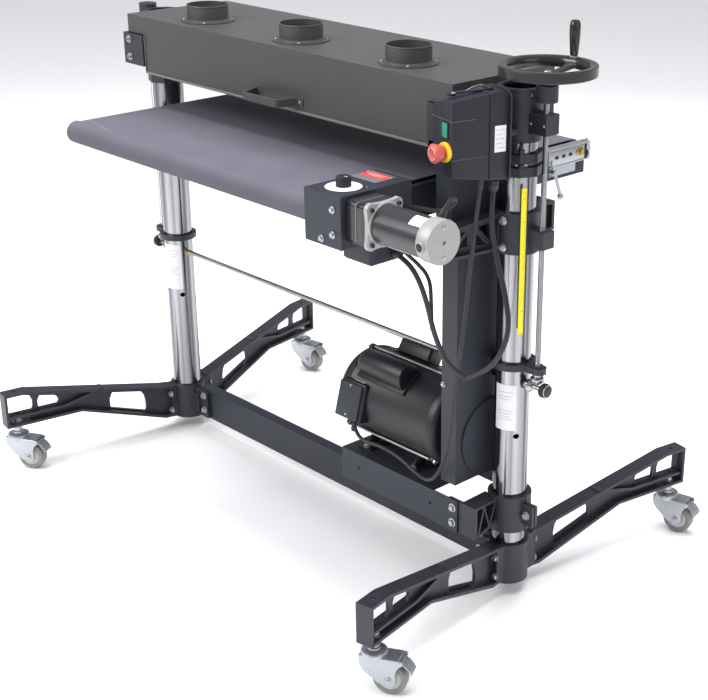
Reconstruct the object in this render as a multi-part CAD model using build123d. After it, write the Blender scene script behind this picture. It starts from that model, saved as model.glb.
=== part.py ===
from build123d import *
import math
import os

# Twin-drum sander: a conveyor table and a drum head carried on two columns, on a
# four-legged base with casters. X runs along the drums (left is -X), Y from the
# infeed, or front (-Y), to the outfeed, or back (+Y), and Z is up from the floor.
# Sizes are laid out from the midpoint of the two columns. save() shifts each piece
# by SHIFT_X, so the origin is at the middle of the machine's overall footprint.

SHIFT_X = -27.6
SIDES = ((-1, "left"), (1, "right"))
ENDS = ((-1, "front"), (1, "back"))

# Places and sizes shared by several pieces
COL_X = 636.0                    # column centre, each side
COL_R = 39.5
RING_R = 50.5                    # outside radius of the cast rings on the columns
SCREW_X = 708.0                  # lead screw axis, each side
SCREW_R = 6.5
SHAFT_Z = 534.0                  # cross shaft
SHAFT_R = 6.0
BUSH_R = 9.0                     # shaft bushings and their holes in the columns
BEVEL_R, BEVEL_TIP_R = 16.4, 9.0
BOLT_HOLE_R = 4.2
LEG_X, LEG_Y = 721.6, 501.0      # caster swivel axis under each leg
DRUM_Y, DRUM_Z = (-50.0, 70.0), 1116.0
DRUM_SHAFT_R = 12.5
PULL_X0, PULL_X1 = 548.0, 572.0  # pulleys on the motor and drum shafts
MOTOR_PULL_R, DRUM_PULL_R = 45.0, 40.0
MOTOR_Y, MOTOR_Z, MOTOR_R = -15.0, 379.0, 104.0
PRESS_Y, PRESS_Z = (-124.0, 144.0), 1073.5  # pressure rollers
PRESS_SHAFT_R = 6.0
HINGE_Y, HINGE_Z, HINGE_R = 171.0, 1062.0, 4.0
BELT_TOP, BELT_T = 985.0, 1.5    # conveyor belt
BELT_IN_R = 25.5                 # inside radius of the belt at its rollers
ROLL_Y = (-380.0, 370.0)
ROLL_Z = BELT_TOP - BELT_IN_R - BELT_T

os.makedirs("parts", exist_ok=True)


# ---------------------------------------------------------------- helpers
def block(x0, x1, y0, y1, z0, z1):
    center = Pos((x0 + x1) / 2, (y0 + y1) / 2, (z0 + z1) / 2)
    return center * Box(abs(x1 - x0), abs(y1 - y0), abs(z1 - z0))


def rod_x(x0, x1, y, z, radius):
    return Pos((x0 + x1) / 2, y, z) * Rot(0, 90, 0) * Cylinder(radius, abs(x1 - x0))


def rod_y(x, y0, y1, z, radius):
    return Pos(x, (y0 + y1) / 2, z) * Rot(90, 0, 0) * Cylinder(radius, abs(y1 - y0))


def rod_z(x, y, z0, z1, radius):
    return Pos(x, y, (z0 + z1) / 2) * Cylinder(radius, abs(z1 - z0))


def polygon_z(x, y, z, radius, sides, height):
    """Upright regular prism standing on height z."""
    return Pos(x, y, z) * extrude(RegularPolygon(radius, sides), height)


def prism(points, x, y, angle, w0, w1):
    """Polygon of (distance, z) points in the upright plane that leaves (x, y) at
    plan angle `angle`, extruded from w0 to w1 across that plane."""
    a = math.radians(angle)
    plane = Plane(origin=(x, y, 0), x_dir=(math.cos(a), math.sin(a), 0),
                  z_dir=(math.sin(a), -math.cos(a), 0))
    return extrude(plane.offset(w0) * make_face(Polyline(*points, close=True)), w1 - w0)


def arm(outer, inner, windows, x, y, angle, width, web):
    """Cast I-section arm: outline, recess on both faces, windows through the web."""
    body = prism(outer, x, y, angle, -width / 2, width / 2)
    body -= prism(inner, x, y, angle, -width / 2 - 1, -web / 2)
    body -= prism(inner, x, y, angle, web / 2, width / 2 + 1)
    for window in windows:
        body -= prism(window, x, y, angle, -web, web)
    return body


def save(name, *shapes):
    solids = [Pos(SHIFT_X, 0, 0) * s for shape in shapes for s in shape.solids()]
    piece = solids[0] if len(solids) == 1 else Compound(children=solids)
    export_step(piece, f"parts/{name}.step")


# ---------------------------------------------------------------- base
LUG_X, LUG_Y = 641.0, 56.0       # joint between socket lug and leg flange
LUG_HALF = 22
LUG_FACE_Y = LUG_Y - 0.1
FLANGE_T = 10
LUG_BOLT_X = (LUG_X - 16, LUG_X + 16)
LUG_BOLT_Z = (60, 110)
BEAM_BOLT_X, BEAM_BOLT_Z = 550, (66, 110)
LEG_TOP, LEG_BOT = 220.0, 124.0
SOCK_Z0, SOCK_Z1, SOCK_R = 32.0, 132.0, 47.8
BEAM_Y0, BEAM_Y1 = 5.0, 38.0
BEAM_Z0, BEAM_Z1 = 39.0, 127.0
BEAM_WALL = 3


def leg(side, end):
    x, y = side * LUG_X, end * LUG_Y
    foot_x, foot_y = side * LEG_X, end * LEG_Y
    reach = math.hypot(foot_x - x, foot_y - y)
    angle = math.degrees(math.atan2(foot_y - y, foot_x - x))
    tip = reach + 34.0
    # Outlines are (distance from the root, z)
    outer = [(0, 40), (28, 40), (275, LEG_BOT), (tip, LEG_BOT), (tip, LEG_TOP),
             (reach - 28, LEG_TOP), (28, 137), (0, 134)]
    inner = [(3, 48), (27, 48), (273, 131), (tip - 7, 131), (tip - 7, 213),
             (reach - 27, 213), (30, 130), (3, 127)]
    windows = [
        [(tip - 7, 131), (tip - 7, 146), (reach - 38, 146), (reach - 38, 131)],
        [(tip - 12, 156), (tip - 12, 206), (reach - 22, 206), (reach - 40, 200),
         (reach - 46, 184), (reach - 46, 168), (reach - 41, 156)],
        [(reach - 64, 156), (reach - 60, 168), (reach - 60, 182), (reach - 66, 194),
         (reach - 108, 185), (reach - 116, 178), (reach - 119, 166), (reach - 114, 157)],
        [(84, 66), (90, 64), (168, 90), (180, 96), (187, 112), (187, 134), (179, 152),
         (94, 134), (84, 120), (80, 100), (80, 80)],
    ]
    stiffener = [(tip - 8, 147), (tip - 8, 154), (324, 154), (218, 178), (206, 178),
                 (206, 172), (322, 147)]
    body = arm(outer, inner, windows, x, y, angle, 41.0, 8.0)
    body += prism(stiffener, x, y, angle, -16, 16)
    # Hole for the caster stem, with room for its nut
    body -= rod_z(foot_x, foot_y, 100, 240, 6.1)
    body -= rod_z(foot_x, foot_y, 131, 146.9, 13)
    # Root flange that bolts to the socket lug
    body += block(x - LUG_HALF, x + LUG_HALF, y, y + end * 0 + FLANGE_T, 40, 134) \
        if end > 0 else block(x - LUG_HALF, x + LUG_HALF, y, y - FLANGE_T, 40, 134)
    body -= rod_z(side * COL_X, 0, 20, 140, SOCK_R + 0.3)
    body -= block(x - 60, x + 60, -LUG_FACE_Y, LUG_FACE_Y, 20, 150)
    for z in LUG_BOLT_Z:
        for bolt_x in LUG_BOLT_X:
            body -= rod_y(side * bolt_x, end * 40, end * 90, z, BOLT_HOLE_R)
    return body


def socket(side):
    x = side * COL_X
    body = rod_z(x, 0, SOCK_Z0, SOCK_Z1, SOCK_R)
    for end in (-1, 1):
        body += block(side * LUG_X - LUG_HALF, side * LUG_X + LUG_HALF,
                      end * 30, end * LUG_FACE_Y, 40, SOCK_Z1)
    # Tongue that carries the crossbeam, thickened at its root
    body += block(side * 590, side * 534, -7.0, 4.9, 44, 122)
    body += block(side * 600, side * 566, -14, 4.9, 56, 110)
    body -= rod_z(x, 0, SOCK_Z0 + 2, SOCK_Z1 + 5, COL_R)
    body += rod_z(x, 0, SOCK_Z0, SOCK_Z0 + 2, 44)
    for end in (-1, 1):
        for z in LUG_BOLT_Z:
            for bolt_x in LUG_BOLT_X:
                body -= rod_y(side * bolt_x, end * 47, end * 60, z, BOLT_HOLE_R)
    for z in BEAM_BOLT_Z:
        body -= rod_y(side * BEAM_BOLT_X, -20, 10, z, BOLT_HOLE_R)
    return body


def crossbeam():
    beam = block(-578, 578, BEAM_Y0, BEAM_Y1, BEAM_Z0, BEAM_Z1)
    beam -= block(-580, 580, BEAM_Y0 + BEAM_WALL, BEAM_Y1 - BEAM_WALL,
                  BEAM_Z0 + BEAM_WALL, BEAM_Z1 - BEAM_WALL)
    for side in (-1, 1):
        for z in BEAM_BOLT_Z:
            beam -= rod_y(side * BEAM_BOLT_X, -10, 10, z, BOLT_HOLE_R)
    return beam


def bolt(x, y, z, way, length):
    """Hex bolt with the underside of its head at y and its shank along way * Y."""
    head_h = 5.5
    hexagon = extrude(RegularPolygon(7.0, 6), head_h / 2, both=True)
    shank = rod_y(x, y, y + way * length, z, 4.0)
    return shank + Pos(x, y - way * head_h / 2, z) * Rot(90, 0, 0) * hexagon


bolts = []
for side, side_name in SIDES:
    save("base_socket_" + side_name, socket(side))
    for z in BEAM_BOLT_Z:
        bolts.append(bolt(side * BEAM_BOLT_X, -7.0, z, 1, 14.8))
    for end, end_name in ENDS:
        save(f"leg_{end_name}_{side_name}", leg(side, end))
        for z in LUG_BOLT_Z:
            for x in LUG_BOLT_X:
                bolts.append(bolt(side * x, end * (LUG_Y + FLANGE_T), z, -end, 18.0))
save("frame_bolts", *bolts)
save("crossbeam", crossbeam())

# ---------------------------------------------------------------- columns
COL_Z0, COL_Z1 = 34.0, 1190.0
COL_BORE_R = 35.0


def column(side):
    x = side * COL_X
    tube = rod_z(x, 0, COL_Z0, COL_Z1, COL_R) - rod_z(x, 0, COL_Z0 - 1, COL_Z1 + 1, COL_BORE_R)
    tube -= rod_x(x - 45, x + 45, 0, SHAFT_Z, BUSH_R)
    # Small hole in the front right of the wall
    a = math.radians(-32)
    hole_x = x + 38 * math.cos(a)
    return tube - rod_x(hole_x - 12, hole_x + 12, 38 * math.sin(a), 409, 6)


def screw_bracket(side, z0, z1):
    """Column ring with a lobe that carries the lead screw."""
    body = rod_z(side * COL_X, 0, z0, z1, RING_R)
    body += block(side * 640, side * 712, -17, 17, z0, z1)
    body += rod_z(side * 712, 0, z0, z1, 17)
    if z0 > 1000:
        body += rod_z(side * SCREW_X, 0, z0, 1203, 23)
    else:
        body += rod_z(side * SCREW_X, 0, z1, 588, 13)
    body -= rod_z(side * COL_X, 0, z0 - 5, z1 + 30, COL_R)
    body -= rod_z(side * SCREW_X, 0, z0 - 5, z1 + 30, SCREW_R + 0.08)
    return body


bushings, brackets = [], []
for side, side_name in SIDES:
    save("column_" + side_name, column(side))
    x = side * COL_X
    for way in (-1, 1):
        bushings.append(rod_x(x + way * 30, x + way * 43, 0, SHAFT_Z, BUSH_R)
                        - rod_x(x + way * 29, x + way * 44, 0, SHAFT_Z, SHAFT_R + 0.05))
    for z0, z1 in ((570, 584), (1169, 1193)):
        brackets.append(screw_bracket(side, z0, z1))
save("shaft_bushings", *bushings)
save("screw_brackets", *brackets)

# ---------------------------------------------------------------- motor and mount
CLAMP_ARM_X = 618
PLATE_Y = -118                   # joint between the clamp and the motor plate
PLATE_T = 4
PLATE_TOP = 249
PLATE_BOLT_X, PLATE_BOLT_Z = 572, (190, 228)
FOOT_X = (238, 400)              # motor feet
# (distance behind the plate, z)
CLAMP_OUTER = [(4, 168), (78, 190), (78, 250), (4, 248)]
CLAMP_INNER = [(8, 174), (74, 197), (74, 244), (8, 242)]
CLAMP_RIBS = [
    [(9, 172), (14, 172), (33, 243), (28, 243)],
    [(28, 243), (33, 243), (52, 184), (47, 184)],
    [(47, 187), (52, 187), (70, 245), (65, 245)],
]


def motor_clamp():
    body = rod_z(COL_X, 0, 168, 256, RING_R)
    body += arm(CLAMP_OUTER, CLAMP_INNER, [], CLAMP_ARM_X, PLATE_Y, 90, 44, 8)
    for rib in CLAMP_RIBS:
        body += prism(rib, CLAMP_ARM_X, PLATE_Y, 90, -22, 22)
    body += block(555, 640, PLATE_Y, PLATE_Y + 8, 168, 248)
    body += block(COL_X + 30, COL_X + 79, -9, 9, 188, 238)
    body -= rod_z(COL_X, 0, 160, 260, COL_R)
    # Split through the ring and its ears
    body -= block(COL_X + 30, COL_X + 90, -1.5, 1.5, 160, 260)
    for z in PLATE_BOLT_Z:
        body -= rod_y(PLATE_BOLT_X, -130, -100, z, BOLT_HOLE_R)
    return body


def motor_plate():
    shelf_z = PLATE_TOP - PLATE_T
    body = block(190, 587, PLATE_Y - PLATE_T, PLATE_Y, 168, PLATE_TOP)
    body += block(190, 505, PLATE_Y - PLATE_T, 95, shelf_z, PLATE_TOP)
    body += block(190, 505, 95 - PLATE_T, 95, 190, PLATE_TOP)
    for x in FOOT_X:
        for y in (-82, 52):
            body -= block(x - 14, x + 14, y - 4.5, y + 4.5, 240, 255)
    for z in PLATE_BOLT_Z:
        body -= rod_y(PLATE_BOLT_X, -130, -110, z, BOLT_HOLE_R)
    for x in (252, 500):
        body -= rod_y(x, -130, -110, 212, 4)
    return body


def motor_rod(x0, x1, radius):
    return rod_x(x0, x1, MOTOR_Y, MOTOR_Z, radius)


def motor_body():
    body = motor_rod(200, 480, MOTOR_R)
    body += motor_rod(172, 200, MOTOR_R + 2) + motor_rod(162, 172, MOTOR_R - 10)
    body += motor_rod(480, 506, MOTOR_R)
    for x in FOOT_X:
        body += (block(x - 20, x + 20, MOTOR_Y - 78, MOTOR_Y + 78, PLATE_TOP, 253)
                 + block(x - 4, x + 4, MOTOR_Y - 66, MOTOR_Y + 66, 252, 320))
    return body - motor_rod(300, 520, 12.6)


def motor_covers():
    """Capacitor covers and junction box, cut to sit on the motor shell."""
    shell = motor_rod(150, 520, MOTOR_R + 0.2) + motor_rod(150, 200.3, MOTOR_R + 2.2)
    return [
        rod_x(234, 382, -80, 480, 31) - shell,
        Pos(290, 50, 478) * Rot(-31, 0, 0) * Box(112, 52, 52) - shell,
        Pos(234, -111, 386) * Rot(-15, 0, 0) * Box(86, 50, 100) - shell,
    ]


def motor_rotor():
    body = motor_rod(320, 578, 12.5) + motor_rod(PULL_X0, PULL_X1, MOTOR_PULL_R)
    body += (motor_rod(PULL_X0 - 2, PULL_X0, MOTOR_PULL_R + 4)
             + motor_rod(PULL_X1, PULL_X1 + 2, MOTOR_PULL_R + 4))
    return body


save("motor_clamp", motor_clamp())
save("motor_plate", motor_plate())
save("motor_body", motor_body())
save("motor_covers", *motor_covers())
save("motor_rotor", motor_rotor())

# ---------------------------------------------------------------- belt guard and drive belt
GUARD_X0, GUARD_X1 = 537.0, 583.0
GUARD_Y0, GUARD_Y1 = -125.0, 118.0
GUARD_Z0, GUARD_Z1 = 290.0, 1060.0


def belt_guard():
    x0, x1 = GUARD_X0 + 2, GUARD_X1 - 2
    top = GUARD_Z1 + 5
    body = (block(GUARD_X0, GUARD_X1, GUARD_Y0, GUARD_Y1, GUARD_Z0, GUARD_Z1)
            - block(x0, x1, GUARD_Y0 + 2, GUARD_Y1 - 2, GUARD_Z0 + 2, top))
    # Bulge at the upper front, open to the main box
    body += (block(GUARD_X0, GUARD_X1, -146, GUARD_Y0 + 2, 900, GUARD_Z1)
             - block(x0, x1, -144, GUARD_Y0 + 4, 902, top))
    body -= block(x0, x1, -140, GUARD_Y0 + 10, 906, top)
    # Raised disc on the outer face, then the shaft openings
    body += rod_x(x1, GUARD_X1 + 5, MOTOR_Y, MOTOR_Z + 4, 92)
    body -= rod_x(GUARD_X1 - 3, GUARD_X1 + 3, MOTOR_Y, MOTOR_Z + 4, 90)
    body -= motor_rod(GUARD_X0 - 3, GUARD_X0 + 4, 22)
    body -= rod_x(GUARD_X0 - 3, GUARD_X1 + 3, 0, SHAFT_Z, 9)
    return body


def half_hull(points):
    hull = []
    for y, z in points:
        while len(hull) > 1:
            (ya, za), (yb, zb) = hull[-2:]
            if (yb - ya) * (z - za) - (zb - za) * (y - ya) > 1e-9:
                break
            hull.pop()
        hull.append((y, z))
    return hull


def belt_wrap(gap, x0, x1):
    """Solid hull around the three pulleys, standing off them by gap."""
    points = set()
    for y, z, radius in ((MOTOR_Y, MOTOR_Z, MOTOR_PULL_R), (DRUM_Y[0], DRUM_Z, DRUM_PULL_R),
                         (DRUM_Y[1], DRUM_Z, DRUM_PULL_R)):
        for k in range(96):
            a = 2 * math.pi * k / 96
            points.add((y + (radius + gap) * math.cos(a), z + (radius + gap) * math.sin(a)))
    points = sorted(points)
    hull = half_hull(points)[:-1] + half_hull(points[::-1])[:-1]
    plane = Plane(origin=(x0, 0, 0), x_dir=(0, 1, 0), z_dir=(1, 0, 0))
    return extrude(plane * make_face(Polyline(*hull, close=True)), x1 - x0)


save("belt_guard", belt_guard())
save("drive_belt", belt_wrap(5.0, 550, 570) - belt_wrap(0.6, 549, 571))

# ---------------------------------------------------------------- head
HEAD_R = 46                      # head sleeve on the column
DRUM_R, DRUM_WALL, DRUM_HALF = 55.0, 5, 470.0


def head_bracket(side):
    body = rod_z(side * COL_X, 0, 1080, 1168.5, HEAD_R)
    body += block(side * 586, side * 598, -146, 150, 1081, 1159)
    body += block(side * 515, side * 598, -152, -146, 1081, 1159)
    body += block(side * 596, side * 604, -42, 42, 1081, 1159)
    # Block on the lead screw
    body += block(side * 676, side * 726, -20, 20, 1102, 1144)
    body -= rod_z(side * COL_X, 0, 1070, 1175, COL_R)
    body -= rod_z(side * SCREW_X, 0, 1090, 1150, SCREW_R + 0.5)
    return body


def end_plate(side):
    x0, x1 = side * 488, side * 500
    cut0, cut1 = sorted((side * 487, side * 501))
    body = block(x0, x1, -136, 160, 1072, 1178)
    body -= prism([(-150, 1126), (-136, 1126), (-116, 1180), (-150, 1180)],
                  0, 0, 90, cut0, cut1)
    for y in DRUM_Y:
        body -= rod_x(cut0, cut1, y, DRUM_Z, DRUM_SHAFT_R + 0.05)
    for y in PRESS_Y:
        body -= block(cut0, cut1, y - 9.2, y + 9.2, 1060, 1098)
    body += block(x0, x1, 153.3, 176, 1054, 1063.4) + block(x0, x1, 153.3, 160, 1060, 1073)
    # End of the hood hinge rod
    body += rod_x(side * 500, side * 487, HINGE_Y, HINGE_Z, HINGE_R)
    return body


def head_frame():
    parts = [end_plate(-1), end_plate(1), block(-488, 488, -5, 25, 1172.5, 1181)]
    parts.append(rod_x(-486.9, 486.9, HINGE_Y, HINGE_Z, HINGE_R))
    for side in (-1, 1):
        for y, top in ((-136, 1126), (150, 1150)):
            parts.append(block(side * 500, side * 586, y, y + 10, 1085, top))
    # Bearing blocks of the pressure rollers
    for y in PRESS_Y:
        for side in (-1, 1):
            parts.append(block(side * 487, side * 501, y - 9, y + 9, 1064.5, 1088)
                         - rod_x(side * 486, side * 502, y, PRESS_Z, PRESS_SHAFT_R + 0.06))
    return parts


def drum(y):
    body = (rod_x(-DRUM_HALF, DRUM_HALF, y, DRUM_Z, DRUM_R)
            - rod_x(-DRUM_HALF + 12, DRUM_HALF - 12, y, DRUM_Z, DRUM_R - DRUM_WALL))
    body += rod_x(-505, 574, y, DRUM_Z, DRUM_SHAFT_R)
    return body + rod_x(PULL_X0, PULL_X1, y, DRUM_Z, DRUM_PULL_R)


def levelling_collars():
    parts = []
    for side in (-1, 1):
        x = side * COL_X
        for z in (1008, 1036):
            collar = polygon_z(x, 0, z, 52, 8, 20)
            collar -= rod_z(x, 0, z - 2, z + 25, COL_R)
            parts.append(collar - block(side * 560, side * 600, -1, 1, z - 2, z + 25))
        # Jack screw above the upper collar, and a stub below it
        x += 35.5
        parts.append(rod_z(x, -33, 1056, 1079.9, 4.5) + polygon_z(x, -33, 1062, 8, 6, 6))
        parts.append(rod_z(x, -33, 1028, 1035.9, 7))
    return parts


for side, side_name in SIDES:
    save("head_bracket_" + side_name, head_bracket(side))
save("head_frame", *head_frame())
for y, name in zip(DRUM_Y, ("front", "rear")):
    save("drum_" + name, drum(y))
for y, name in zip(PRESS_Y, ("infeed", "outfeed")):
    save("pressure_roller_" + name, rod_x(-478, 478, y, PRESS_Z, 12.0)
         + rod_x(-499, 499, y, PRESS_Z, PRESS_SHAFT_R))
save("levelling_collars", *levelling_collars())

# ---------------------------------------------------------------- hood
HOOD_X = 582.6                   # half length
HOOD_Y0, HOOD_Y1 = -146.0, 166.0
HOOD_Z0, HOOD_Z1 = 1064.0, 1205.5
SHEET = 2.0
NOTCH = 69.6
NOTCH_Z = 1161
PORT_X = [i * 360.8 for i in (-1, 0, 1)]
PORT_Y = -57.0
PORT_R = 50.8                    # outside radius of a 4 in dust port
PORT_H = 40.6
PORT_FLANGE_R = 65.7
HANDLE_Z0, HANDLE_H = 1081, 18
# Handle outline seen from above, (x, y)
HANDLE = [(-66, -146), (-60, -146), (-43, -194), (-39, -195), (67, -195), (71, -194),
          (86, -146), (92, -146), (76, -195), (71, -199), (-43, -199), (-49, -195)]


def port_screw_holes(x, z0, z1):
    angles = [math.radians(45 + 90 * k) for k in range(4)]
    return [rod_z(x + 58 * math.cos(a), PORT_Y + 58 * math.sin(a), z0, z1, 2.1)
            for a in angles]


def hood_shell():
    body = (block(-HOOD_X, HOOD_X, HOOD_Y0, HOOD_Y1, HOOD_Z0, HOOD_Z1)
            - block(-HOOD_X + SHEET, HOOD_X - SHEET, HOOD_Y0 + SHEET, HOOD_Y1 - SHEET,
                    HOOD_Z0 - 5, HOOD_Z1 - SHEET))
    # Lower front corners and lower end walls are cut away
    for side in (-1, 1):
        body -= block(side * (HOOD_X - NOTCH), side * 600, HOOD_Y0 - 1, HOOD_Y0 + 20,
                      HOOD_Z0 - 1, NOTCH_Z)
        body -= block(side * (HOOD_X - 5), side * 600, HOOD_Y0 - 1, HOOD_Y1 + 1,
                      HOOD_Z0 - 1, NOTCH_Z)
    for x in PORT_X:
        body -= rod_z(x, PORT_Y, 1190, 1220, PORT_R - 1.5)
        for hole in port_screw_holes(x, 1190, 1220):
            body -= hole
    # Hinge leaves and knuckles along the back
    for x in range(-400, 401, 160):
        body += (block(x - 28, x + 28, HOOD_Y1, HOOD_Y1 + 2, 1066, 1090)
                 + rod_x(x - 28, x + 28, HINGE_Y, HINGE_Z, 6.5))
        body -= rod_x(x - 30, x + 30, HINGE_Y, HINGE_Z, HINGE_R + 0.06)
    return body


def dust_port(x):
    body = (rod_z(x, PORT_Y, HOOD_Z1, HOOD_Z1 + 3, PORT_FLANGE_R)
            + rod_z(x, PORT_Y, HOOD_Z1, HOOD_Z1 + PORT_H, PORT_R))
    body -= rod_z(x, PORT_Y, HOOD_Z1 - 1, HOOD_Z1 + PORT_H + 1, PORT_R - 2.0)
    for hole in port_screw_holes(x, HOOD_Z1 - 1, HOOD_Z1 + 5):
        body -= hole
    return body


def hood_handle():
    top = HANDLE_Z0 + HANDLE_H
    outline = make_face(Polyline(*HANDLE, close=True))
    body = extrude(Plane.XY.offset(HANDLE_Z0) * outline, HANDLE_H)
    body += (block(-84, -62, HOOD_Y0 - 3, HOOD_Y0, HANDLE_Z0, top)
             + block(88, 110, HOOD_Y0 - 3, HOOD_Y0, HANDLE_Z0, top))
    return body


save("hood_shell", hood_shell())
save("hood_fittings", *[dust_port(x) for x in PORT_X], hood_handle())

# ---------------------------------------------------------------- lift
WHEEL_Z, WHEEL_RIM_R = 1235.0, 102.0
GRIP_ANGLE = 96
GRIP_X = SCREW_X + 91 * math.cos(math.radians(GRIP_ANGLE))
GRIP_Y = 91 * math.sin(math.radians(GRIP_ANGLE))


def lead_screw(side):
    """Screw with its bevel gear; the right one reaches up to the handwheel."""
    x = side * SCREW_X
    body = rod_z(x, 0, 543, 1250 if side > 0 else 1199, SCREW_R)
    body += (Pos(x, 0, (543.5 + 551) / 2) * Cone(BEVEL_TIP_R, BEVEL_R, 7.5)
             + rod_z(x, 0, 551, 560, 15))
    return body + rod_z(x, 0, 560, 569.5, 9)


def cross_shaft():
    body = rod_x(-735, 735, 0, SHAFT_Z, SHAFT_R)
    for side in (-1, 1):
        # Bevel gear narrowing outwards, its hub, and the end collar
        body += (Pos(side * 694, 0, SHAFT_Z) * Rot(0, side * 90, 0)
                 * Cone(BEVEL_R, BEVEL_TIP_R, 8)
                 + rod_x(side * 682, side * 690, 0, SHAFT_Z, 13))
        body += rod_x(side * 726, side * 740, 0, SHAFT_Z, 15)
    return body


def handwheel():
    body = (rod_z(SCREW_X, 0, WHEEL_Z - 11, WHEEL_Z + 11, WHEEL_RIM_R)
            - rod_z(SCREW_X, 0, WHEEL_Z - 12, WHEEL_Z + 12, WHEEL_RIM_R - 22))
    body += rod_z(SCREW_X, 0, 1204, 1246, 19)
    for k in range(3):
        body += (Pos(SCREW_X, 0, WHEEL_Z - 3) * Rot(0, 0, GRIP_ANGLE + 120 * k)
                 * Pos(50, 0, 0) * Box(80, 18, 8))
    body -= rod_z(SCREW_X, 0, 1200, 1260, SCREW_R)
    body += rod_z(GRIP_X, GRIP_Y, WHEEL_Z + 11, 1318, 4.0)
    body += rod_z(GRIP_X, GRIP_Y, WHEEL_Z + 11, 1249.5, 8.0)
    return body


def handwheel_grip():
    body = rod_z(GRIP_X, GRIP_Y, 1250, 1322, 11.5) - rod_z(GRIP_X, GRIP_Y, 1249, 1318.2, 4.06)
    return fillet(body.edges().filter_by(GeomType.CIRCLE).group_by(Axis.Z)[-1], 5)


for side, side_name in SIDES:
    save("lead_screw_" + side_name, lead_screw(side))
save("cross_shaft", cross_shaft())
save("handwheel", handwheel())
save("handwheel_grip", handwheel_grip())

# ---------------------------------------------------------------- table
ROLL_R, ROLL_SHAFT_R = 25.4, 10.0
BELT_X = 470.0                   # half width of belt and rollers
# Per arm: end, reach, windows as (distance from the column axis, z)
TABLE_ARMS = (
    (-1, 205, [[(62, 866), (100, 903), (62, 905)], [(74, 860), (110, 897), (110, 864)],
               [(124, 866), (160, 870), (124, 900)], [(136, 902), (168, 876), (168, 900)]]),
    (1, 130, [[(62, 864), (104, 903), (62, 906)], [(72, 860), (112, 897), (112, 863)]]),
)


def table_bracket(side):
    body = rod_z(side * COL_X, 0, 839.0, 929.0, RING_R)
    for end, reach, windows in TABLE_ARMS:
        outer = [(30, 843), (reach, 852), (reach, 918), (30, 925)]
        inner = [(52, 850), (reach - 8, 859), (reach - 8, 911), (52, 918)]
        body += arm(outer, inner, windows, side * 612, 0, 90 * end, 34, 7)
        body += block(side * 487, side * 629, end * (reach - 8), end * reach, 852, 918)
    body += block(side * 676, side * 727, -17, 17, 858, 896)
    body -= rod_z(side * COL_X, 0, 800, 950, COL_R + 0.25)
    body -= rod_z(side * SCREW_X, 0, 850, 900, SCREW_R + 0.08)
    # Keep clear of the belt guard beside the right column
    if side > 0:
        body -= block(520, 584.5, -150, 121, 830, 940)
    return body


def side_rail(side):
    x0, x1 = side * 474, side * 486.9
    front = ROLL_Y[0]
    rail = block(x0, x1, -398 if side > 0 else -330, 396, 905, 978)
    if side < 0:
        # Slim rounded nose around the drive roller shaft
        rail += block(x0, x1, front, -329, ROLL_Z - 17, ROLL_Z + 17)
        rail += rod_x(x0, x1, front, ROLL_Z, 17)
    for y in ROLL_Y:
        rail -= rod_x(side * 473, side * 487.9, y, ROLL_Z, ROLL_SHAFT_R + 0.06)
    return rail


def table_bed():
    top = BELT_TOP - BELT_T - 0.2
    bed = block(-466, 466, -350, 342, top - 4, top)
    for side in (-1, 1):
        bed += side_rail(side)
    for y in (-300, -201, 126, 300):
        bed += (block(-474, 474, y - 15, y + 15, 935, 978)
                - block(-480, 480, y - 12, y + 12, 930, 975))
    return bed + block(-468, 468, -330, 322, 975, 979.5)


def belt_track(radius, half_width):
    body = block(-half_width, half_width, *ROLL_Y, ROLL_Z - radius, ROLL_Z + radius)
    body += (rod_x(-half_width, half_width, ROLL_Y[0], ROLL_Z, radius)
             + rod_x(-half_width, half_width, ROLL_Y[1], ROLL_Z, radius))
    return body


def roller(y, x0, x1):
    return (rod_x(-BELT_X, BELT_X, y, ROLL_Z, ROLL_R)
            + rod_x(x0, x1, y, ROLL_Z, ROLL_SHAFT_R))


for side, side_name in SIDES:
    save("table_bracket_" + side_name, table_bracket(side))
save("table_bed", table_bed())
save("conveyor_belt", belt_track(BELT_IN_R + BELT_T, BELT_X) - belt_track(BELT_IN_R, BELT_X + 1))
save("drive_roller", roller(ROLL_Y[0], -488, 540))
save("idler_roller", roller(ROLL_Y[1], -492, 492))

# ---------------------------------------------------------------- table drive
GEAR_Y, GEAR_Z = -352.0, 961.0   # gearmotor axis
DIAL_X, DIAL_Y = 480, -352


def drive_cover():
    """Sheet cover over the front right corner of the table."""
    body = block(425, 535, -410, -215, 902, 1012) - block(427, 533, -408, -217, 890, 1010)
    body -= block(420, 428, -408, -210, 890, 990)
    body -= block(424, 490, -218, -214, 890, 990)
    body += block(495, 533, -408, -250, 902, 904)
    body -= rod_x(520, 540, ROLL_Y[0], ROLL_Z, 12)
    return body - rod_z(DIAL_X, DIAL_Y, 1000, 1020, 4.2)


def lower_box():
    """Hollow box below the drive cover."""
    body = block(440, 531, -326, -243, 846, 901.9)
    body = fillet(body.edges().filter_by(Axis.Z), 9)
    body = chamfer(body.faces().sort_by(Axis.Z)[0].edges(), 5)
    return body - block(446, 525, -320, -249, 852, 898)


def gearmotor():
    y0, y1, z0, z1 = GEAR_Y - 45, GEAR_Y + 45, GEAR_Z - 45, GEAR_Z + 45
    body = block(535.1, 593, y0, y1, z0, z1)
    body += block(593, 603, y0, y1, z0, z1)
    body += rod_x(603, 735, GEAR_Y, GEAR_Z, 42) + rod_x(735, 768, GEAR_Y, GEAR_Z, 44)
    body += rod_y(750, GEAR_Y - 50, GEAR_Y - 30, GEAR_Z, 10)
    return body - rod_x(530, 545, ROLL_Y[0], ROLL_Z, ROLL_SHAFT_R + 0.06)


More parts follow.
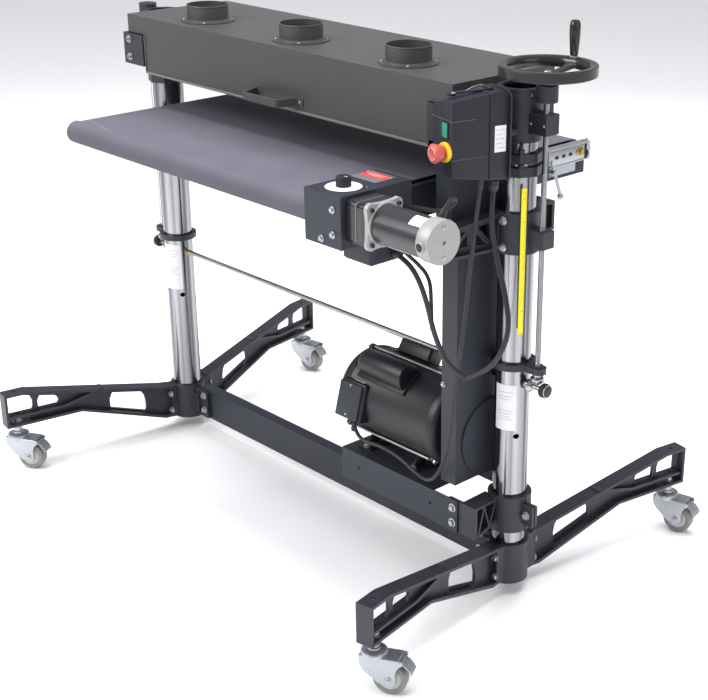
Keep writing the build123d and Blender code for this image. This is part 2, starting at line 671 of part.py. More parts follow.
def takeup_channels():
    parts = []
    for side in (-1, 1):
        channel = block(side * 488, side * 512, 238, 386, 944, 986)
        channel -= block(side * 491, side * 520, 230, 374, 947, 983)
        channel -= rod_x(side * 480, side * 520, ROLL_Y[1], ROLL_Z, 11)
        parts.append(channel)
        x, z = side * 502, ROLL_Z + 8
        parts.append(rod_y(x, 386.1, 396, z, 4) + rod_y(x, 386.1, 390, z, 7.5))
    # Angle bracket below the right channel
    bracket = block(488, 512, 242, 334, 924, 943.9) - block(486, 509, 241, 340, 927, 945)
    bracket += block(488, 512, 242, 245, 924, 943.9)
    return parts + [bracket]


def tracking_lever():
    body = rod_x(512.5, 526, 249, 936, 6)
    body += prism([(236, 964), (242, 966), (278, 878), (271, 876)], 521, 0, 90, -2, 2)
    return body + Pos(521, 274.5, 875) * Sphere(8)


save("drive_box", drive_cover(), lower_box())
save("gearmotor", gearmotor())
save("speed_dial", rod_z(DIAL_X, DIAL_Y, 1014, 1034, 15) + rod_z(DIAL_X, DIAL_Y, 1006, 1014.2, 4.1))
save("takeup_channels", *takeup_channels())
save("tracking_lever", tracking_lever())

# ---------------------------------------------------------------- control box
# u runs leftwards along the turned front face, v rearwards from it.
PANEL_TURN = 14.0
PANEL_X, PANEL_Y = 665.0, -229.0
PANEL_Z0, PANEL_Z1 = 1037, 1190
STOP_U, STOP_Z = 21, 1092


def panel_place(u, v, z):
    a = math.radians(PANEL_TURN)
    x = PANEL_X - u * math.cos(a) + v * math.sin(a)
    y = PANEL_Y + u * math.sin(a) + v * math.cos(a)
    return Pos(x, y, z) * Rot(0, 0, -PANEL_TURN)


def panel_block(u0, u1, v0, v1, z0, z1):
    place = panel_place((u0 + u1) / 2, (v0 + v1) / 2, (z0 + z1) / 2)
    return place * Box(u1 - u0, v1 - v0, z1 - z0)


def stop_rod(v0, v1, radius):
    place = panel_place(STOP_U, (v0 + v1) / 2, STOP_Z)
    return place * Rot(90, 0, 0) * Cylinder(radius, v1 - v0)


lid = panel_block(0, 78, 0, 86, PANEL_Z0, PANEL_Z1)
lid = fillet(lid.edges().filter_by(Axis.Z), 4)
lid -= stop_rod(-5, 13, 12.2)
lid -= panel_block(15, 37, -5, 13, 1119, 1151)
# Back plate with a tab to the head sleeve
back_plate = panel_block(-6, 84, 132, 135, 1030, 1196)
back_plate += block(632, 668, -94, -40, 1100, 1112)
back_plate -= rod_z(COL_X, 0, 1000, 1200, HEAD_R + 0.05)
save("control_box", lid, panel_block(0, 78, 86, 132, PANEL_Z0, PANEL_Z1), back_plate)
save("stop_button", stop_rod(-33, -14, 17) + stop_rod(-14, 8, 12))
save("start_button", panel_block(16, 36, -3, 9, 1120, 1150))

# ---------------------------------------------------------------- casters
WHEEL_R, WHEEL_W = 38.0, 30.0
TRAIL = 36.0                     # wheel axle behind the swivel axis
# Fork cheek, (distance from the swivel axis, z)
CHEEK = [(-26, 92), (-27, 76), (-22, 60), (-7, 44), (14, 29), (26, 24), (38, 22),
         (48, 28), (52, 40), (50, 56), (53, 70), (58, 82), (58, 92)]


def caster_fork(x, y):
    body = rod_z(x, y, 92, 123.5, 8) + rod_z(x, y, 123, 146, 6.0) + rod_z(x, y, 96, 104, 26)
    body += polygon_z(x, y, 131.1, 10, 6, 8)
    body += rod_z(x, y, 112, 123.5, 11)
    body += block(x - 24, x + 58, y - 22, y + 22, 86, 92) + rod_z(x, y, 86, 96.5, 27)
    for w0, w1 in ((-22, -18.5), (18.5, 22)):
        body += prism(CHEEK, x, y, 0, w0, w1)
    return body + rod_y(x + TRAIL, y - 25, y + 25, WHEEL_R, 5)


def caster_wheel(x, y):
    body = rod_y(x, y - WHEEL_W / 2, y + WHEEL_W / 2, WHEEL_R, WHEEL_R)
    body = fillet(body.edges().filter_by(GeomType.CIRCLE), 4)
    body += rod_y(x, y - 18, y + 18, WHEEL_R, 11)
    return body - rod_y(x, y - 30, y + 30, WHEEL_R, 5.06)


def brake_pedal(x, y):
    return (block(x + 24, x + 52, y - 17, y + 17, 72, 76)
            + block(x + 15, x + 26, y - 14, y + 14, 75.5, 80)
            + rod_y(x + 15, y - 14, y + 14, 78, 3))


for side, side_name in SIDES:
    for end, end_name in ENDS:
        x, y = side * LEG_X, end * LEG_Y
        # The swivels rest turned, the front pair further than the back pair
        turn = Pos(x, y, 0) * Rot(0, 0, 30 if end < 0 else 12) * Pos(-x, -y, 0)
        for name, body in (("caster_fork", caster_fork(x, y)),
                           ("caster_wheel", caster_wheel(x + TRAIL, y)),
                           ("brake_pedal", brake_pedal(x + TRAIL, y))):
            save(f"{name}_{end_name}_{side_name}", *[turn * s for s in body.solids()])
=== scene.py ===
import bpy, bmesh, math, random
from mathutils import Vector, Matrix

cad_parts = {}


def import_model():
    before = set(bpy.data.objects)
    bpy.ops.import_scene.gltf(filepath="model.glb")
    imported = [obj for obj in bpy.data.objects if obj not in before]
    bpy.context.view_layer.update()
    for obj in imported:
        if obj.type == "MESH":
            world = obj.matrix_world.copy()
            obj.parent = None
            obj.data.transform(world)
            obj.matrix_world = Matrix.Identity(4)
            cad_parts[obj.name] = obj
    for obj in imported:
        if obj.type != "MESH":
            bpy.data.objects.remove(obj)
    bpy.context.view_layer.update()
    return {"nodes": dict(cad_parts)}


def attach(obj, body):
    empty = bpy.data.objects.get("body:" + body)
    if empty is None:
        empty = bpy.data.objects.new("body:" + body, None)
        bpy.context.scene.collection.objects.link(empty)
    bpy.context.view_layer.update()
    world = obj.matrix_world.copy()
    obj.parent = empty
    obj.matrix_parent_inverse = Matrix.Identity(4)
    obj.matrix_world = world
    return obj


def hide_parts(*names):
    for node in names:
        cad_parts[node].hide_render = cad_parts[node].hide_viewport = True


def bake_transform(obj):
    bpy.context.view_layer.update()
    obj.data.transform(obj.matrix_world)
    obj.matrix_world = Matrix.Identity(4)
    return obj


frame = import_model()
random.seed(7)
N = frame["nodes"]
OX = -27.6          # the column midpoint sits this far from the origin, in millimetres

# ------------------------------------------------------------ materials
def mat(name, col, rough=.5, metal=0., coat=0., bump=.12, scale=600., var=.12, edge_wear_sheen=0., edge_wear_sheen_col=(.45, .45, .46), bevel=.0008, spec=.5, streak=None, alpha=None, dirt=.0):
    m = bpy.data.materials.new(name); m.use_nodes = True
    nt = m.node_tree; n = nt.nodes; l = nt.links
    b = n["Principled BSDF"]
    b.inputs["Metallic"].default_value = metal
    b.inputs["Coat Weight"].default_value = coat
    b.inputs["Coat Roughness"].default_value = .15
    b.inputs["Specular IOR Level"].default_value = spec
    tc = n.new("ShaderNodeTexCoord"); mp = n.new("ShaderNodeMapping")
    l.new(tc.outputs["Object"], mp.inputs["Vector"])
    if streak: mp.inputs["Scale"].default_value = streak
    fine = n.new("ShaderNodeTexNoise"); fine.inputs["Scale"].default_value = scale; fine.inputs["Detail"].default_value = 3
    big = n.new("ShaderNodeTexNoise"); big.inputs["Scale"].default_value = 9.; big.inputs["Detail"].default_value = 4
    l.new(mp.outputs[0], fine.inputs["Vector"]); l.new(tc.outputs["Object"], big.inputs["Vector"])
    mixv = n.new("ShaderNodeMath"); mixv.operation = "MULTIPLY_ADD"; mixv.inputs[1].default_value = .5
    h = n.new("ShaderNodeMath"); h.operation = "MULTIPLY"; h.inputs[1].default_value = .5
    l.new(big.outputs["Fac"], h.inputs[0]); l.new(fine.outputs["Fac"], mixv.inputs[0]); l.new(h.outputs[0], mixv.inputs[2])
    cr = n.new("ShaderNodeValToRGB"); e = cr.color_ramp.elements
    e[0].position = .3; e[1].position = .7
    e[0].color = tuple(max(0, c * (1 - var)) for c in col) + (1,)
    e[1].color = tuple(min(1, c * (1 + var)) for c in col) + (1,)
    l.new(mixv.outputs[0], cr.inputs[0])
    colout = cr.outputs[0]
    rr = n.new("ShaderNodeMapRange"); rr.inputs[1].default_value = .3; rr.inputs[2].default_value = .7
    rr.inputs[3].default_value = max(.02, rough - .07); rr.inputs[4].default_value = min(1, rough + .07)
    l.new(mixv.outputs[0], rr.inputs[0]); rout = rr.outputs[0]
    bv = n.new("ShaderNodeBevel"); bv.samples = 4; bv.inputs["Radius"].default_value = bevel
    # Edges lighten in noisy patches: partly real worn edges, partly a painted highlight along edges.
    if edge_wear_sheen > 0:
        g = n.new("ShaderNodeNewGeometry")
        dt = n.new("ShaderNodeVectorMath"); dt.operation = "DOT_PRODUCT"
        b2 = n.new("ShaderNodeBevel"); b2.samples = 4; b2.inputs["Radius"].default_value = bevel * 1.6
        l.new(b2.outputs[0], dt.inputs[0]); l.new(g.outputs["Normal"], dt.inputs[1])
        w = n.new("ShaderNodeMapRange"); w.inputs[1].default_value = .995; w.inputs[2].default_value = .86
        w.inputs[3].default_value = 0; w.inputs[4].default_value = edge_wear_sheen
        l.new(dt.outputs["Value"], w.inputs[0])
        wn = n.new("ShaderNodeMath"); wn.operation = "MULTIPLY"
        l.new(w.outputs[0], wn.inputs[0]); l.new(big.outputs["Fac"], wn.inputs[1])
        mx = n.new("ShaderNodeMix"); mx.data_type = "RGBA"
        l.new(wn.outputs[0], mx.inputs[0]); l.new(colout, mx.inputs[6]); mx.inputs[7].default_value = edge_wear_sheen_col + (1,)
        colout = mx.outputs[2]
    l.new(colout, b.inputs["Base Color"]); l.new(rout, b.inputs["Roughness"])
    bp = n.new("ShaderNodeBump"); bp.inputs["Strength"].default_value = bump; bp.inputs["Distance"].default_value = .0006
    l.new(fine.outputs["Fac"], bp.inputs["Height"]); l.new(bv.outputs[0], bp.inputs["Normal"]); l.new(bp.outputs[0], b.inputs["Normal"])
    if alpha: b.inputs["Transmission Weight"].default_value = alpha
    return m

M = {
 "coat": mat("coat", (.022, .0243, .035), .5, 0, 0, .3, 900, .10, .3, (.13, .13, .14), spec=.4),
 "gear": mat("gear", (.024, .0245, .028), .3, 0, .15, .2, 700, .10, .35, (.2, .2, .21), .0014, spec=.5),
 "hood": mat("hood", (.046, .0452, .0465), .46, 0, 0, .25, 1100, .08, .35, (.3, .3, .3), spec=.5),
 "cast": mat("cast", (.0205, .0215, .030), .46, 0, 0, .4, 420, .14, .45, (.16, .16, .17), .0014, spec=.45),
 "motor": mat("motor", (.0092, .0096, .0128), .42, 0, 0, .25, 700, .1, .4, (.1, .1, .1), .0016, spec=.5),
 # chrome for the columns; its colour later gets painted reflection bands multiplied in
 "chrome": mat("chrome", (.66, .66, .69), .17, 1, 0, .05, 260, .05, 0, bevel=.0006, streak=(1, 1, .03)),
 "steel": mat("steel", (.44, .44, .45), .3, 1, 0, .12, 500, .1, 0, bevel=.0005),
 "zinc": mat("zinc", (.43, .45, .48), .36, .85, 0, .25, 220, .16, .3, (.7, .7, .7), .0007),
 "hubw": mat("hubw", (.50, .50, .485), .5, 0, 0, .15, 500, .08, 0),
 "bronze": mat("bronze", (.55, .36, .11), .3, .9, 0, .12, 500, .1, 0),
 "alu": mat("alu", (.36, .355, .355), .5, .45, 0, .25, 700, .07, .3, (.6, .6, .6), .001),
 "belt": mat("belt", (.088, .084, .106), .82, 0, 0, .6, 1500, .12, 0, bevel=.0006, spec=.3),
 "grit": mat("grit", (.16, .075, .04), .9, 0, 0, .8, 1700, .25, 0),
 "rubber": mat("rubber", (.018, .018, .019), .55, 0, 0, .25, 500, .1, 0),
 "iron": mat("iron", (.014, .0138, .013), .2, 0, .3, .12, 300, .1, .4, (.12, .12, .11), .0025),
 "plastic": mat("plastic", (.0135, .0148, .0225), .5, 0, 0, .35, 1500, .08, .3, (.09, .09, .1), .0018, spec=.4),
 "red": mat("red", (.50, .085, .065), .38, 0, .1, .1, 600, .06, .2, (.7, .2, .15), .0022),
 "green": mat("green", (.01, .22, .15), .42, 0, .1, .12, 600, .06, 0, bevel=.001),
 "yellow": mat("yellow", (.83, .74, .02), .5, 0, 0, .08, 500, .06, 0),
 "ycollar": mat("ycollar", (.8, .5, .02), .4, 0, .1, .08, 500, .05, 0),
 "wheel": mat("wheel", (.20, .195, .185), .5, 0, 0, .2, 500, .1, .3, (.45, .43, .4), .0015),
 "hub": mat("hub", (.42, .41, .39), .45, 0, 0, .2, 500, .1, 0),
 "paper": mat("paper", (.72, .72, .73), .55, 0, 0, .06, 900, .04, 0),
 "paperline": mat("paperline", (.45, .45, .47), .6, 0, 0, .05, 900, .1, 0),
 "redlabel": mat("redlabel", (.55, .04, .03), .4, 0, .1, .06, 700, .06, 0),
 "greylabel": mat("greylabel", (.11, .11, .12), .4, 0, .1, .06, 700, .06, 0),
 "white": mat("white", (.72, .72, .74), .35, 0, .2, .05, 600, .03, 0),
 "dark": mat("dark", (.008, .008, .009), .6, 0, 0, .2, 500, .1, 0),
 "clear": mat("clear", (.8, .82, .85), .08, 0, .5, .02, 300, .03, 0, alpha=.7),
 # lighter copy of the lid plastic for the ribs: painted highlight
 "rib_painted_highlight": mat("rib_painted_highlight", (.060, .063, .076), .4, 0, 0, .25, 1500, .08, .3, (.2, .2, .21), .0008),
 # lighter copy of the hood colour for the folded lip: painted highlight along the fold
 "lip_painted_highlight": mat("lip_painted_highlight", (.13, .129, .13), .42, 0, 0, .2, 900, .08, .3, (.35, .35, .35), .0008),
 "ringw": mat("ringw", (.62, .63, .65), .35, 0, .1, .1, 300, .05, 0),
 "seam": mat("seam", (.2, .195, .19), .6, 0, 0, .3, 900, .1, 0),
}
def paint_reflection_bands(m, reflection_stops):
    """Painted reflection: soft vertical light and dark bands multiplied into a ground steel tube's colour, standing in
    for the studio's light and dark sides mirrored in it.
    """
    nt = m.node_tree; n = nt.nodes; l = nt.links; b = n["Principled BSDF"]
    lw = n.new("ShaderNodeLayerWeight"); lw.inputs[0].default_value = .5
    g = n.new("ShaderNodeNewGeometry"); sp = n.new("ShaderNodeSeparateXYZ"); l.new(g.outputs["Normal"], sp.inputs[0])
    vt = n.new("ShaderNodeVectorTransform"); vt.vector_type = "NORMAL"; vt.convert_from = "WORLD"; vt.convert_to = "CAMERA"
    l.new(g.outputs["Normal"], vt.inputs[0]); s2 = n.new("ShaderNodeSeparateXYZ"); l.new(vt.outputs[0], s2.inputs[0])
    mr = n.new("ShaderNodeMapRange"); mr.inputs[1].default_value = -1; mr.inputs[2].default_value = 1; l.new(s2.outputs[0], mr.inputs[0])
    cr = n.new("ShaderNodeValToRGB"); e = cr.color_ramp.elements
    while len(e) > 1: e.remove(e[-1])
    e[0].position = reflection_stops[0][0]; e[0].color = (reflection_stops[0][1],) * 3 + (1,)
    for p, v in reflection_stops[1:]:
        k = e.new(p); k.color = (v, v, v * 1.02, 1)
    l.new(mr.outputs[0], cr.inputs[0])
    old = b.inputs["Base Color"].links[0].from_socket
    mx = n.new("ShaderNodeMix"); mx.data_type = "RGBA"; mx.blend_type = "MULTIPLY"; mx.inputs[0].default_value = 1.
    l.new(old, mx.inputs[6]); l.new(cr.outputs[0], mx.inputs[7]); l.new(mx.outputs[2], b.inputs["Base Color"])
# painted reflection on the chrome columns: light and dark stripes multiplied into the base colour by camera-facing
# angle
paint_reflection_bands(M["chrome"], [(0, .25), (.06, .45), (.13, .22), (.2, .32), (.3, .60), (.4, .50), (.47, .34), (.53, .50), (.62, .58), (.72, .44), (.8, .38), (.84, .16), (.88, .22), (.93, .55), (1., .28)])
node_mat = {"hood_shell": "hood", "hood_fittings": "hood", "crossbeam": "coat", "motor_plate": "coat", "belt_guard": "coat", "drive_box": "coat", "head_frame": "coat",
 "motor_body": "motor", "motor_covers": "motor", "column_left": "chrome", "column_right": "chrome", "shaft_bushings": "bronze", "conveyor_belt": "belt",
 "drum_front": "grit", "drum_rear": "grit", "drive_belt": "rubber", "handwheel": "iron", "handwheel_grip": "plastic", "control_box": "plastic", "speed_dial": "plastic",
 "stop_button": "red", "start_button": "green", "gearmotor": "gear", "table_bed": "coat", "takeup_channels": "zinc", "frame_bolts": "zinc", "tracking_lever": "zinc"}
for k, o in N.items():
    if k in node_mat: mm = M[node_mat[k]]
    elif k.startswith("caster_wheel"): mm = M["wheel"]
    elif k.startswith(("caster_fork", "brake_pedal")): mm = M["zinc"]
    elif k in ("cross_shaft", "lead_screw_left", "lead_screw_right", "motor_rotor", "idler_roller", "drive_roller", "pressure_roller_infeed", "pressure_roller_outfeed"): mm = M["steel"]
    else: mm = M["cast"]
    o.data.materials.clear(); o.data.materials.append(mm)

# ------------------------------------------------------------ mesh helpers (millimetres in, metres out)
TURN = None
def obj(name, bm, m, body, smooth=40):
    me = bpy.data.meshes.new(name)
    if TURN: bmesh.ops.rotate(bm, cent=(TURN[0], TURN[1], 0), matrix=Matrix.Rotation(math.radians(TURN[2]), 3, "Z"), verts=bm.verts)
    bmesh.ops.translate(bm, vec=(OX, 0, 0), verts=bm.verts)
    bmesh.ops.scale(bm, vec=(.001, .001, .001), verts=bm.verts)
    bm.to_mesh(me); bm.free()
    me.materials.append(M[m])
    o = bpy.data.objects.new(name, me); bpy.context.scene.collection.objects.link(o)
    me.shade_smooth()
    try: me.set_sharp_from_angle(angle=math.radians(smooth))
    except Exception: pass
    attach(o, body)
    return o

def axmat(p, d):
    d = Vector(d).normalized()
    return Matrix.Translation(Vector(p)) @ d.to_track_quat("Z", "Y").to_matrix().to_4x4()

def add_lathe(bm, prof, seg=32, mtx=Matrix.Identity(4), a0=0., a1=2 * math.pi):
    full = abs(a1 - a0 - 2 * math.pi) < 1e-6
    rings = []
    cnt = seg if full else seg + 1
    for r, z in prof:
        if r < 1e-6:
            rings.append([bm.verts.new(mtx @ Vector((0, 0, z)))])
        else:
            rings.append([bm.verts.new(mtx @ Vector((r * math.cos(a0 + (a1 - a0) * k / seg), r * math.sin(a0 + (a1 - a0) * k / seg), z))) for k in range(cnt)])
    for A, B in zip(rings, rings[1:]):
        for k in range(seg):
            k2 = (k + 1) % cnt if full else k + 1
            try:
                if len(A) == 1 and len(B) == 1: continue
                if len(A) == 1: bm.faces.new((A[0], B[k2], B[k]))
                elif len(B) == 1: bm.faces.new((A[k], A[k2], B[0]))
                else: bm.faces.new((A[k], A[k2], B[k2], B[k]))
            except ValueError: pass
    return rings

def fixn(bm):
    bmesh.ops.remove_doubles(bm, verts=bm.verts, dist=1e-4)
    bmesh.ops.recalc_face_normals(bm, faces=bm.faces)

def add_rbox(bm, sx, sy, sz, mtx, bev=2., seg=2):
    t = bmesh.new()
    bmesh.ops.create_cube(t, size=1.)
    bmesh.ops.scale(t, vec=(sx, sy, sz), verts=t.verts)
    if bev > 0: bmesh.ops.bevel(t, geom=list(t.edges), offset=bev, segments=seg, affect="EDGES", profile=.5)
    bmesh.ops.transform(t, matrix=mtx, verts=t.verts)
    me = bpy.data.meshes.new("t"); t.to_mesh(me); t.free(); bm.from_mesh(me); bpy.data.meshes.remove(me)

def add_prism(bm, pts, mtx, h, bev=.6):
    """Polygon in local XY, extruded 0..h along local Z, edges bevelled."""
    t = bmesh.new()
    vs = [t.verts.new((x, y, 0)) for x, y in pts]
    f = t.faces.new(vs)
    r = bmesh.ops.extrude_face_region(t, geom=[f])
    bmesh.ops.translate(t, verts=[v for v in r["geom"] if isinstance(v, bmesh.types.BMVert)], vec=(0, 0, h))
    bmesh.ops.recalc_face_normals(t, faces=t.faces)
    if bev > 0: bmesh.ops.bevel(t, geom=list(t.edges), offset=bev, segments=2, affect="EDGES", profile=.5)
    bmesh.ops.transform(t, matrix=mtx, verts=t.verts)
    me = bpy.data.meshes.new("t"); t.to_mesh(me); t.free(); bm.from_mesh(me); bpy.data.meshes.remove(me)

def rings_close(bm):
    fixn(bm)

def hexhead(bm, p, d, r=7., h=5., washer=True, rot=0.):
    m = axmat(p, d) @ Matrix.Rotation(rot, 4, "Z")
    if washer:
        add_lathe(bm, [(0, 0), (r * 1.35, 0), (r * 1.42, .4), (r * 1.42, 1.2), (r * 1.35, 1.5), (0, 1.5)], 28, m)
    z = 1.5 if washer else 0
    add_lathe(bm, [(0, z), (r, z), (r, z + h * .8), (r * .88, z + h), (r * .4, z + h), (r * .35, z + h * .92), (0, z + h * .92)], 6, m)

def sockhead(bm, p, d, r=6., h=5., washer=False):
    m = axmat(p, d)
    z = 0
    if washer:
        add_lathe(bm, [(0, 0), (r * 1.5, 0), (r * 1.5, 1.2), (0, 1.2)], 28, m); z = 1.2
    add_lathe(bm, [(0, z), (r, z), (r, z + h - .7), (r - .7, z + h), (r * .55, z + h)], 24, m)
    add_lathe(bm, [(r * .55, z + h), (r * .52, z + h * .35), (0, z + h * .3)], 6, m)

def panhead(bm, p, d, r=4., h=2.2):
    m = axmat(p, d)
    add_lathe(bm, [(0, 0), (r, 0), (r, .6), (r * .85, h * .75), (r * .45, h), (r * .3, h), (r * .28, h * .5), (0, h * .45)], 20, m)

def cable(name, pts, r, m, body, ends=0):
    cu = bpy.data.curves.new(name, "CURVE"); cu.dimensions = "3D"; cu.bevel_depth = r / 1000; cu.bevel_resolution = 4; cu.resolution_u = 10; cu.use_fill_caps = True
    s = cu.splines.new("NURBS"); s.points.add(len(pts) - 1)
    for q, p in zip(s.points, pts): q.co = ((p[0] + OX) / 1000, p[1] / 1000, p[2] / 1000, 1)
    s.order_u = 3; s.use_endpoint_u = True
    o = bpy.data.objects.new(name + "_c", cu); bpy.context.scene.collection.objects.link(o)
    bpy.context.view_layer.update()
    me = bpy.data.meshes.new_from_object(o.evaluated_get(bpy.context.evaluated_depsgraph_get()))
    bpy.data.objects.remove(o)
    me.materials.clear(); me.materials.append(M[m]); me.shade_smooth()
    k = bpy.data.objects.new(name, me); bpy.context.scene.collection.objects.link(k)
    if body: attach(k, body)
    return k

# ------------------------------------------------------------ lead screws with real threads
def thread(name, x, z0, zt0, zt1, z1, node, body, hand):
    bm = bmesh.new(); seg = 20; pitch = 3.0; dz = .6
    zs = [z0]; z = zt0
    prof = [(6.5, z0), (6.5, zt0)]
    rows = []
    def row(z, fn):
        return [bm.verts.new((x + fn(k) * math.cos(2 * math.pi * k / seg), fn(k) * math.sin(2 * math.pi * k / seg), z)) for k in range(seg)]
    rows.append(row(z0, lambda k: 6.4)); rows.append(row(zt0, lambda k: 6.4))
    n = int((zt1 - zt0) / dz)
    for i in range(1, n):
        zz = zt0 + i * dz
        def fn(k, zz=zz):
            ph = ((zz - hand * pitch * k / seg) / pitch) % 1.
            t = abs(ph - .5) * 2
            return 5.6 + .95 * min(1, max(0, (t - .2) / .5))
        rows.append(row(zz, fn))
    rows.append(row(zt1, lambda k: 5.6)); rows.append(row(z1, lambda k: 5.6))
    c0 = bm.verts.new((x, 0, z0)); c1 = bm.verts.new((x, 0, z1))
    for A, B in zip(rows, rows[1:]):
        for k in range(seg): bm.faces.new((A[k], A[(k + 1) % seg], B[(k + 1) % seg], B[k]))
    for k in range(seg):
        bm.faces.new((rows[0][(k + 1) % seg], rows[0][k], c0)); bm.faces.new((rows[-1][k], rows[-1][(k + 1) % seg], c1))
    # bevel gear with teeth
    def gear(z0g, zg1, r0, r1, teeth=16):
        ng = teeth * 4
        A = []; B = []
        for k in range(ng):
            a = 2 * math.pi * k / ng
            t = .0 if k % 4 in (0, 1) else -1.7
            A.append(bm.verts.new((x + (r0 + t * .6) * math.cos(a), (r0 + t * .6) * math.sin(a), z0g)))
            B.append(bm.verts.new((x + (r1 + t) * math.cos(a), (r1 + t) * math.sin(a), zg1)))
        for k in range(ng): bm.faces.new((A[k], A[(k + 1) % ng], B[(k + 1) % ng], B[k]))
        ca = bm.verts.new((x, 0, z0g)); cb = bm.verts.new((x, 0, zg1))
        for k in range(ng):
            bm.faces.new((A[(k + 1) % ng], A[k], ca)); bm.faces.new((B[k], B[(k + 1) % ng], cb))
    gear(543.5, 551, 9, 16.4)
    add_lathe(bm, [(0, 551), (14.5, 551), (15, 551.6), (15, 559), (14, 560), (9, 560), (9, 569.5), (0, 569.5)], 32, Matrix.Translation((x, 0, 0)))
    bmesh.ops.recalc_face_normals(bm, faces=bm.faces)
    o = obj(name, bm, "steel", body, 50)
    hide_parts(node)
thread("lead_screw_right_threaded", 708, 543, 575, 1020, 1224, "lead_screw_right", "right_screw", 1)
thread("lead_screw_left_threaded", -708, 543, 575, 1020, 1199, "lead_screw_left", "left_screw", -1)

# ------------------------------------------------------------ bolts
zb = bmesh.new()
for z in (190, 228): hexhead(zb, (572, -122, z), (0, -1, 0), 7.5, 5.5, True, .3)
for sx in (-1, 1):
    for z in (1144, 1099): sockhead(zb, (sx * 573, -152, z), (0, -1, 0), 6.5, 5, True)
hexhead(zb, (697, -9.0, 213), (0, -1, 0), 7.5, 6)
for x in (238, 400):
    for y in (-82, 52): hexhead(zb, (x, y, 253), (0, 0, 1), 7, 6)
hexhead(zb, (542.7, -125, 528), (0, -1, 0), 4.5, 3.5, True)
for z in (430, 640, 850, 1000): hexhead(zb, (542.7, 118, z), (0, 1, 0), 4.5, 3.5, True)
for sx in (-1, 1):
    for q in ((660, -17, 1181), (682, -17, 1181)): sockhead(zb, (sx * q[0], q[1], q[2]), (0, -1, 0), 3.6, 3)
    for q in ((684, -20, 1123), (720, -20, 1123)): sockhead(zb, (sx * q[0], q[1], q[2]), (0, -1, 0), 3.2, 2.4)
fixn(zb); obj("mount_bolts", zb, "zinc", "frame")
fb = bmesh.new()
for sx in (-1, 1):
    for z in (66, 110): hexhead(fb, (sx * 550, -7.0, z), (0, -1, 0), 7.5, 5.5, True, .2)
    for sy in (-1, 1):
        for z in (60, 110):
            for x in (625, 657): hexhead(fb, (sx * x, sy * 66.0, z), (0, sy, 0), 7.5, 5.5, True, .1 * z)
for sx in (-1, 1):
    for z in (66, 110): add_lathe(fb, [(0, 0), (4, 0), (4, 15), (0, 15)], 16, axmat((sx * 550, -7, z), (0, 1, 0)))
    for sy in (-1, 1):
        for z in (60, 110):
            for x in (625, 657): add_lathe(fb, [(0, 0), (4, 0), (4, 18), (0, 18)], 16, axmat((sx * x, sy * 66.0, z), (0, -sy, 0)))
fixn(fb); o = obj("frame_bolt_set", fb, "zinc", "frame"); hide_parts("frame_bolts")
tb = bmesh.new()
for z in (912, 854):
    for sx in (-1, 1): hexhead(tb, (sx * 642, -50.1, z), (0, -1, 0), 7, 5.5)
for p in ((511, -410, 982), (511, -410, 930), (476, -410, 915)): hexhead(tb, p, (0, -1, 0), 5.5, 4)
for (x, y) in ((430, -238), (501, -239)): panhead(tb, (x, y, 1012), (0, 0, 1), 4.5, 3)
fixn(tb); obj("table_bolts", tb, "zinc", "table")
hb = bmesh.new()
for i in (-1, 0, 1):
    for k in range(4):
        a = math.radians(45 + 90 * k)
        panhead(hb, (i * 360.8 + 58 * math.cos(a), -57 + 58 * math.sin(a), 1208.5), (0, 0, 1), 4, 2.4)
for x in (-74, 100):
    panhead(hb, (x, -149, 1090), (0, -1, 0), 3.4, 2.2)
fixn(hb); obj("hood_screws", hb, "zinc", "hood")

# ------------------------------------------------------------ hood details: rolled port lips, folded lower lip
for i in (-1, 0, 1):
    bm = bmesh.new()
    m = Matrix.Translation((i * 360.8, -57, 0))
    add_lathe(bm, [(48.9, 1243), (49.0, 1245.2), (49.9, 1246.3), (50.9, 1245.6), (51.1, 1243.6), (50.85, 1242.0)], 96, m)
    add_lathe(bm, [(50.85, 1212.5), (52.2, 1209.9), (54.6, 1208.6)], 96, m)
    bmesh.ops.recalc_face_normals(bm, faces=bm.faces)
    o = obj("port_lip_%d" % (i + 1), bm, "hood", "hood", 60)
    so = o.modifiers.new("s", "SOLIDIFY"); so.thickness = .0006
# folded lower lip, coloured lighter than the hood as a painted highlight
bm = bmesh.new()
for x0, x1, y in ((-512, 512, -147.2),):
    add_rbox(bm, x1 - x0, 2.4, 6, Matrix.Translation(((x0 + x1) / 2, y, 1067.2)), .9)
for x in (-512.3, 512.3): add_rbox(bm, 2.2, 2.4, 94, Matrix.Translation((x, -147.2, 1112)), .8)
obj("hood_lip", bm, "lip_painted_highlight", "hood")
# ------------------------------------------------------------ conveyor: seam, labels, dial disc
def ribbon(name, pts, w, z, m, body):
    bm = bmesh.new()
    L = []; R = []
    for a, b in zip(pts, pts[1:] + [pts[-1]]):
        d = (Vector(b) - Vector(a)) if a != b else (Vector(pts[-1]) - Vector(pts[-2]))
        n = Vector((-d.y, d.x)).normalized() * w / 2
        L.append(bm.verts.new((a[0] + n.x, a[1] + n.y, z))); R.append(bm.verts.new((a[0] - n.x, a[1] - n.y, z)))
    for k in range(len(pts) - 1): bm.faces.new((L[k], R[k], R[k + 1], L[k + 1]))
    r = bmesh.ops.extrude_face_region(bm, geom=list(bm.faces))
    bmesh.ops.translate(bm, verts=[v for v in r["geom"] if isinstance(v, bmesh.types.BMVert)], vec=(0, 0, .25))
    bmesh.ops.recalc_face_normals(bm, faces=bm.faces)
    return obj(name, bm, m, body)
ribbon("belt_seam", [(-469, -352), (-420, -362), (-370, -371), (-330, -377)], 1.4, 985.02, "seam", "table")
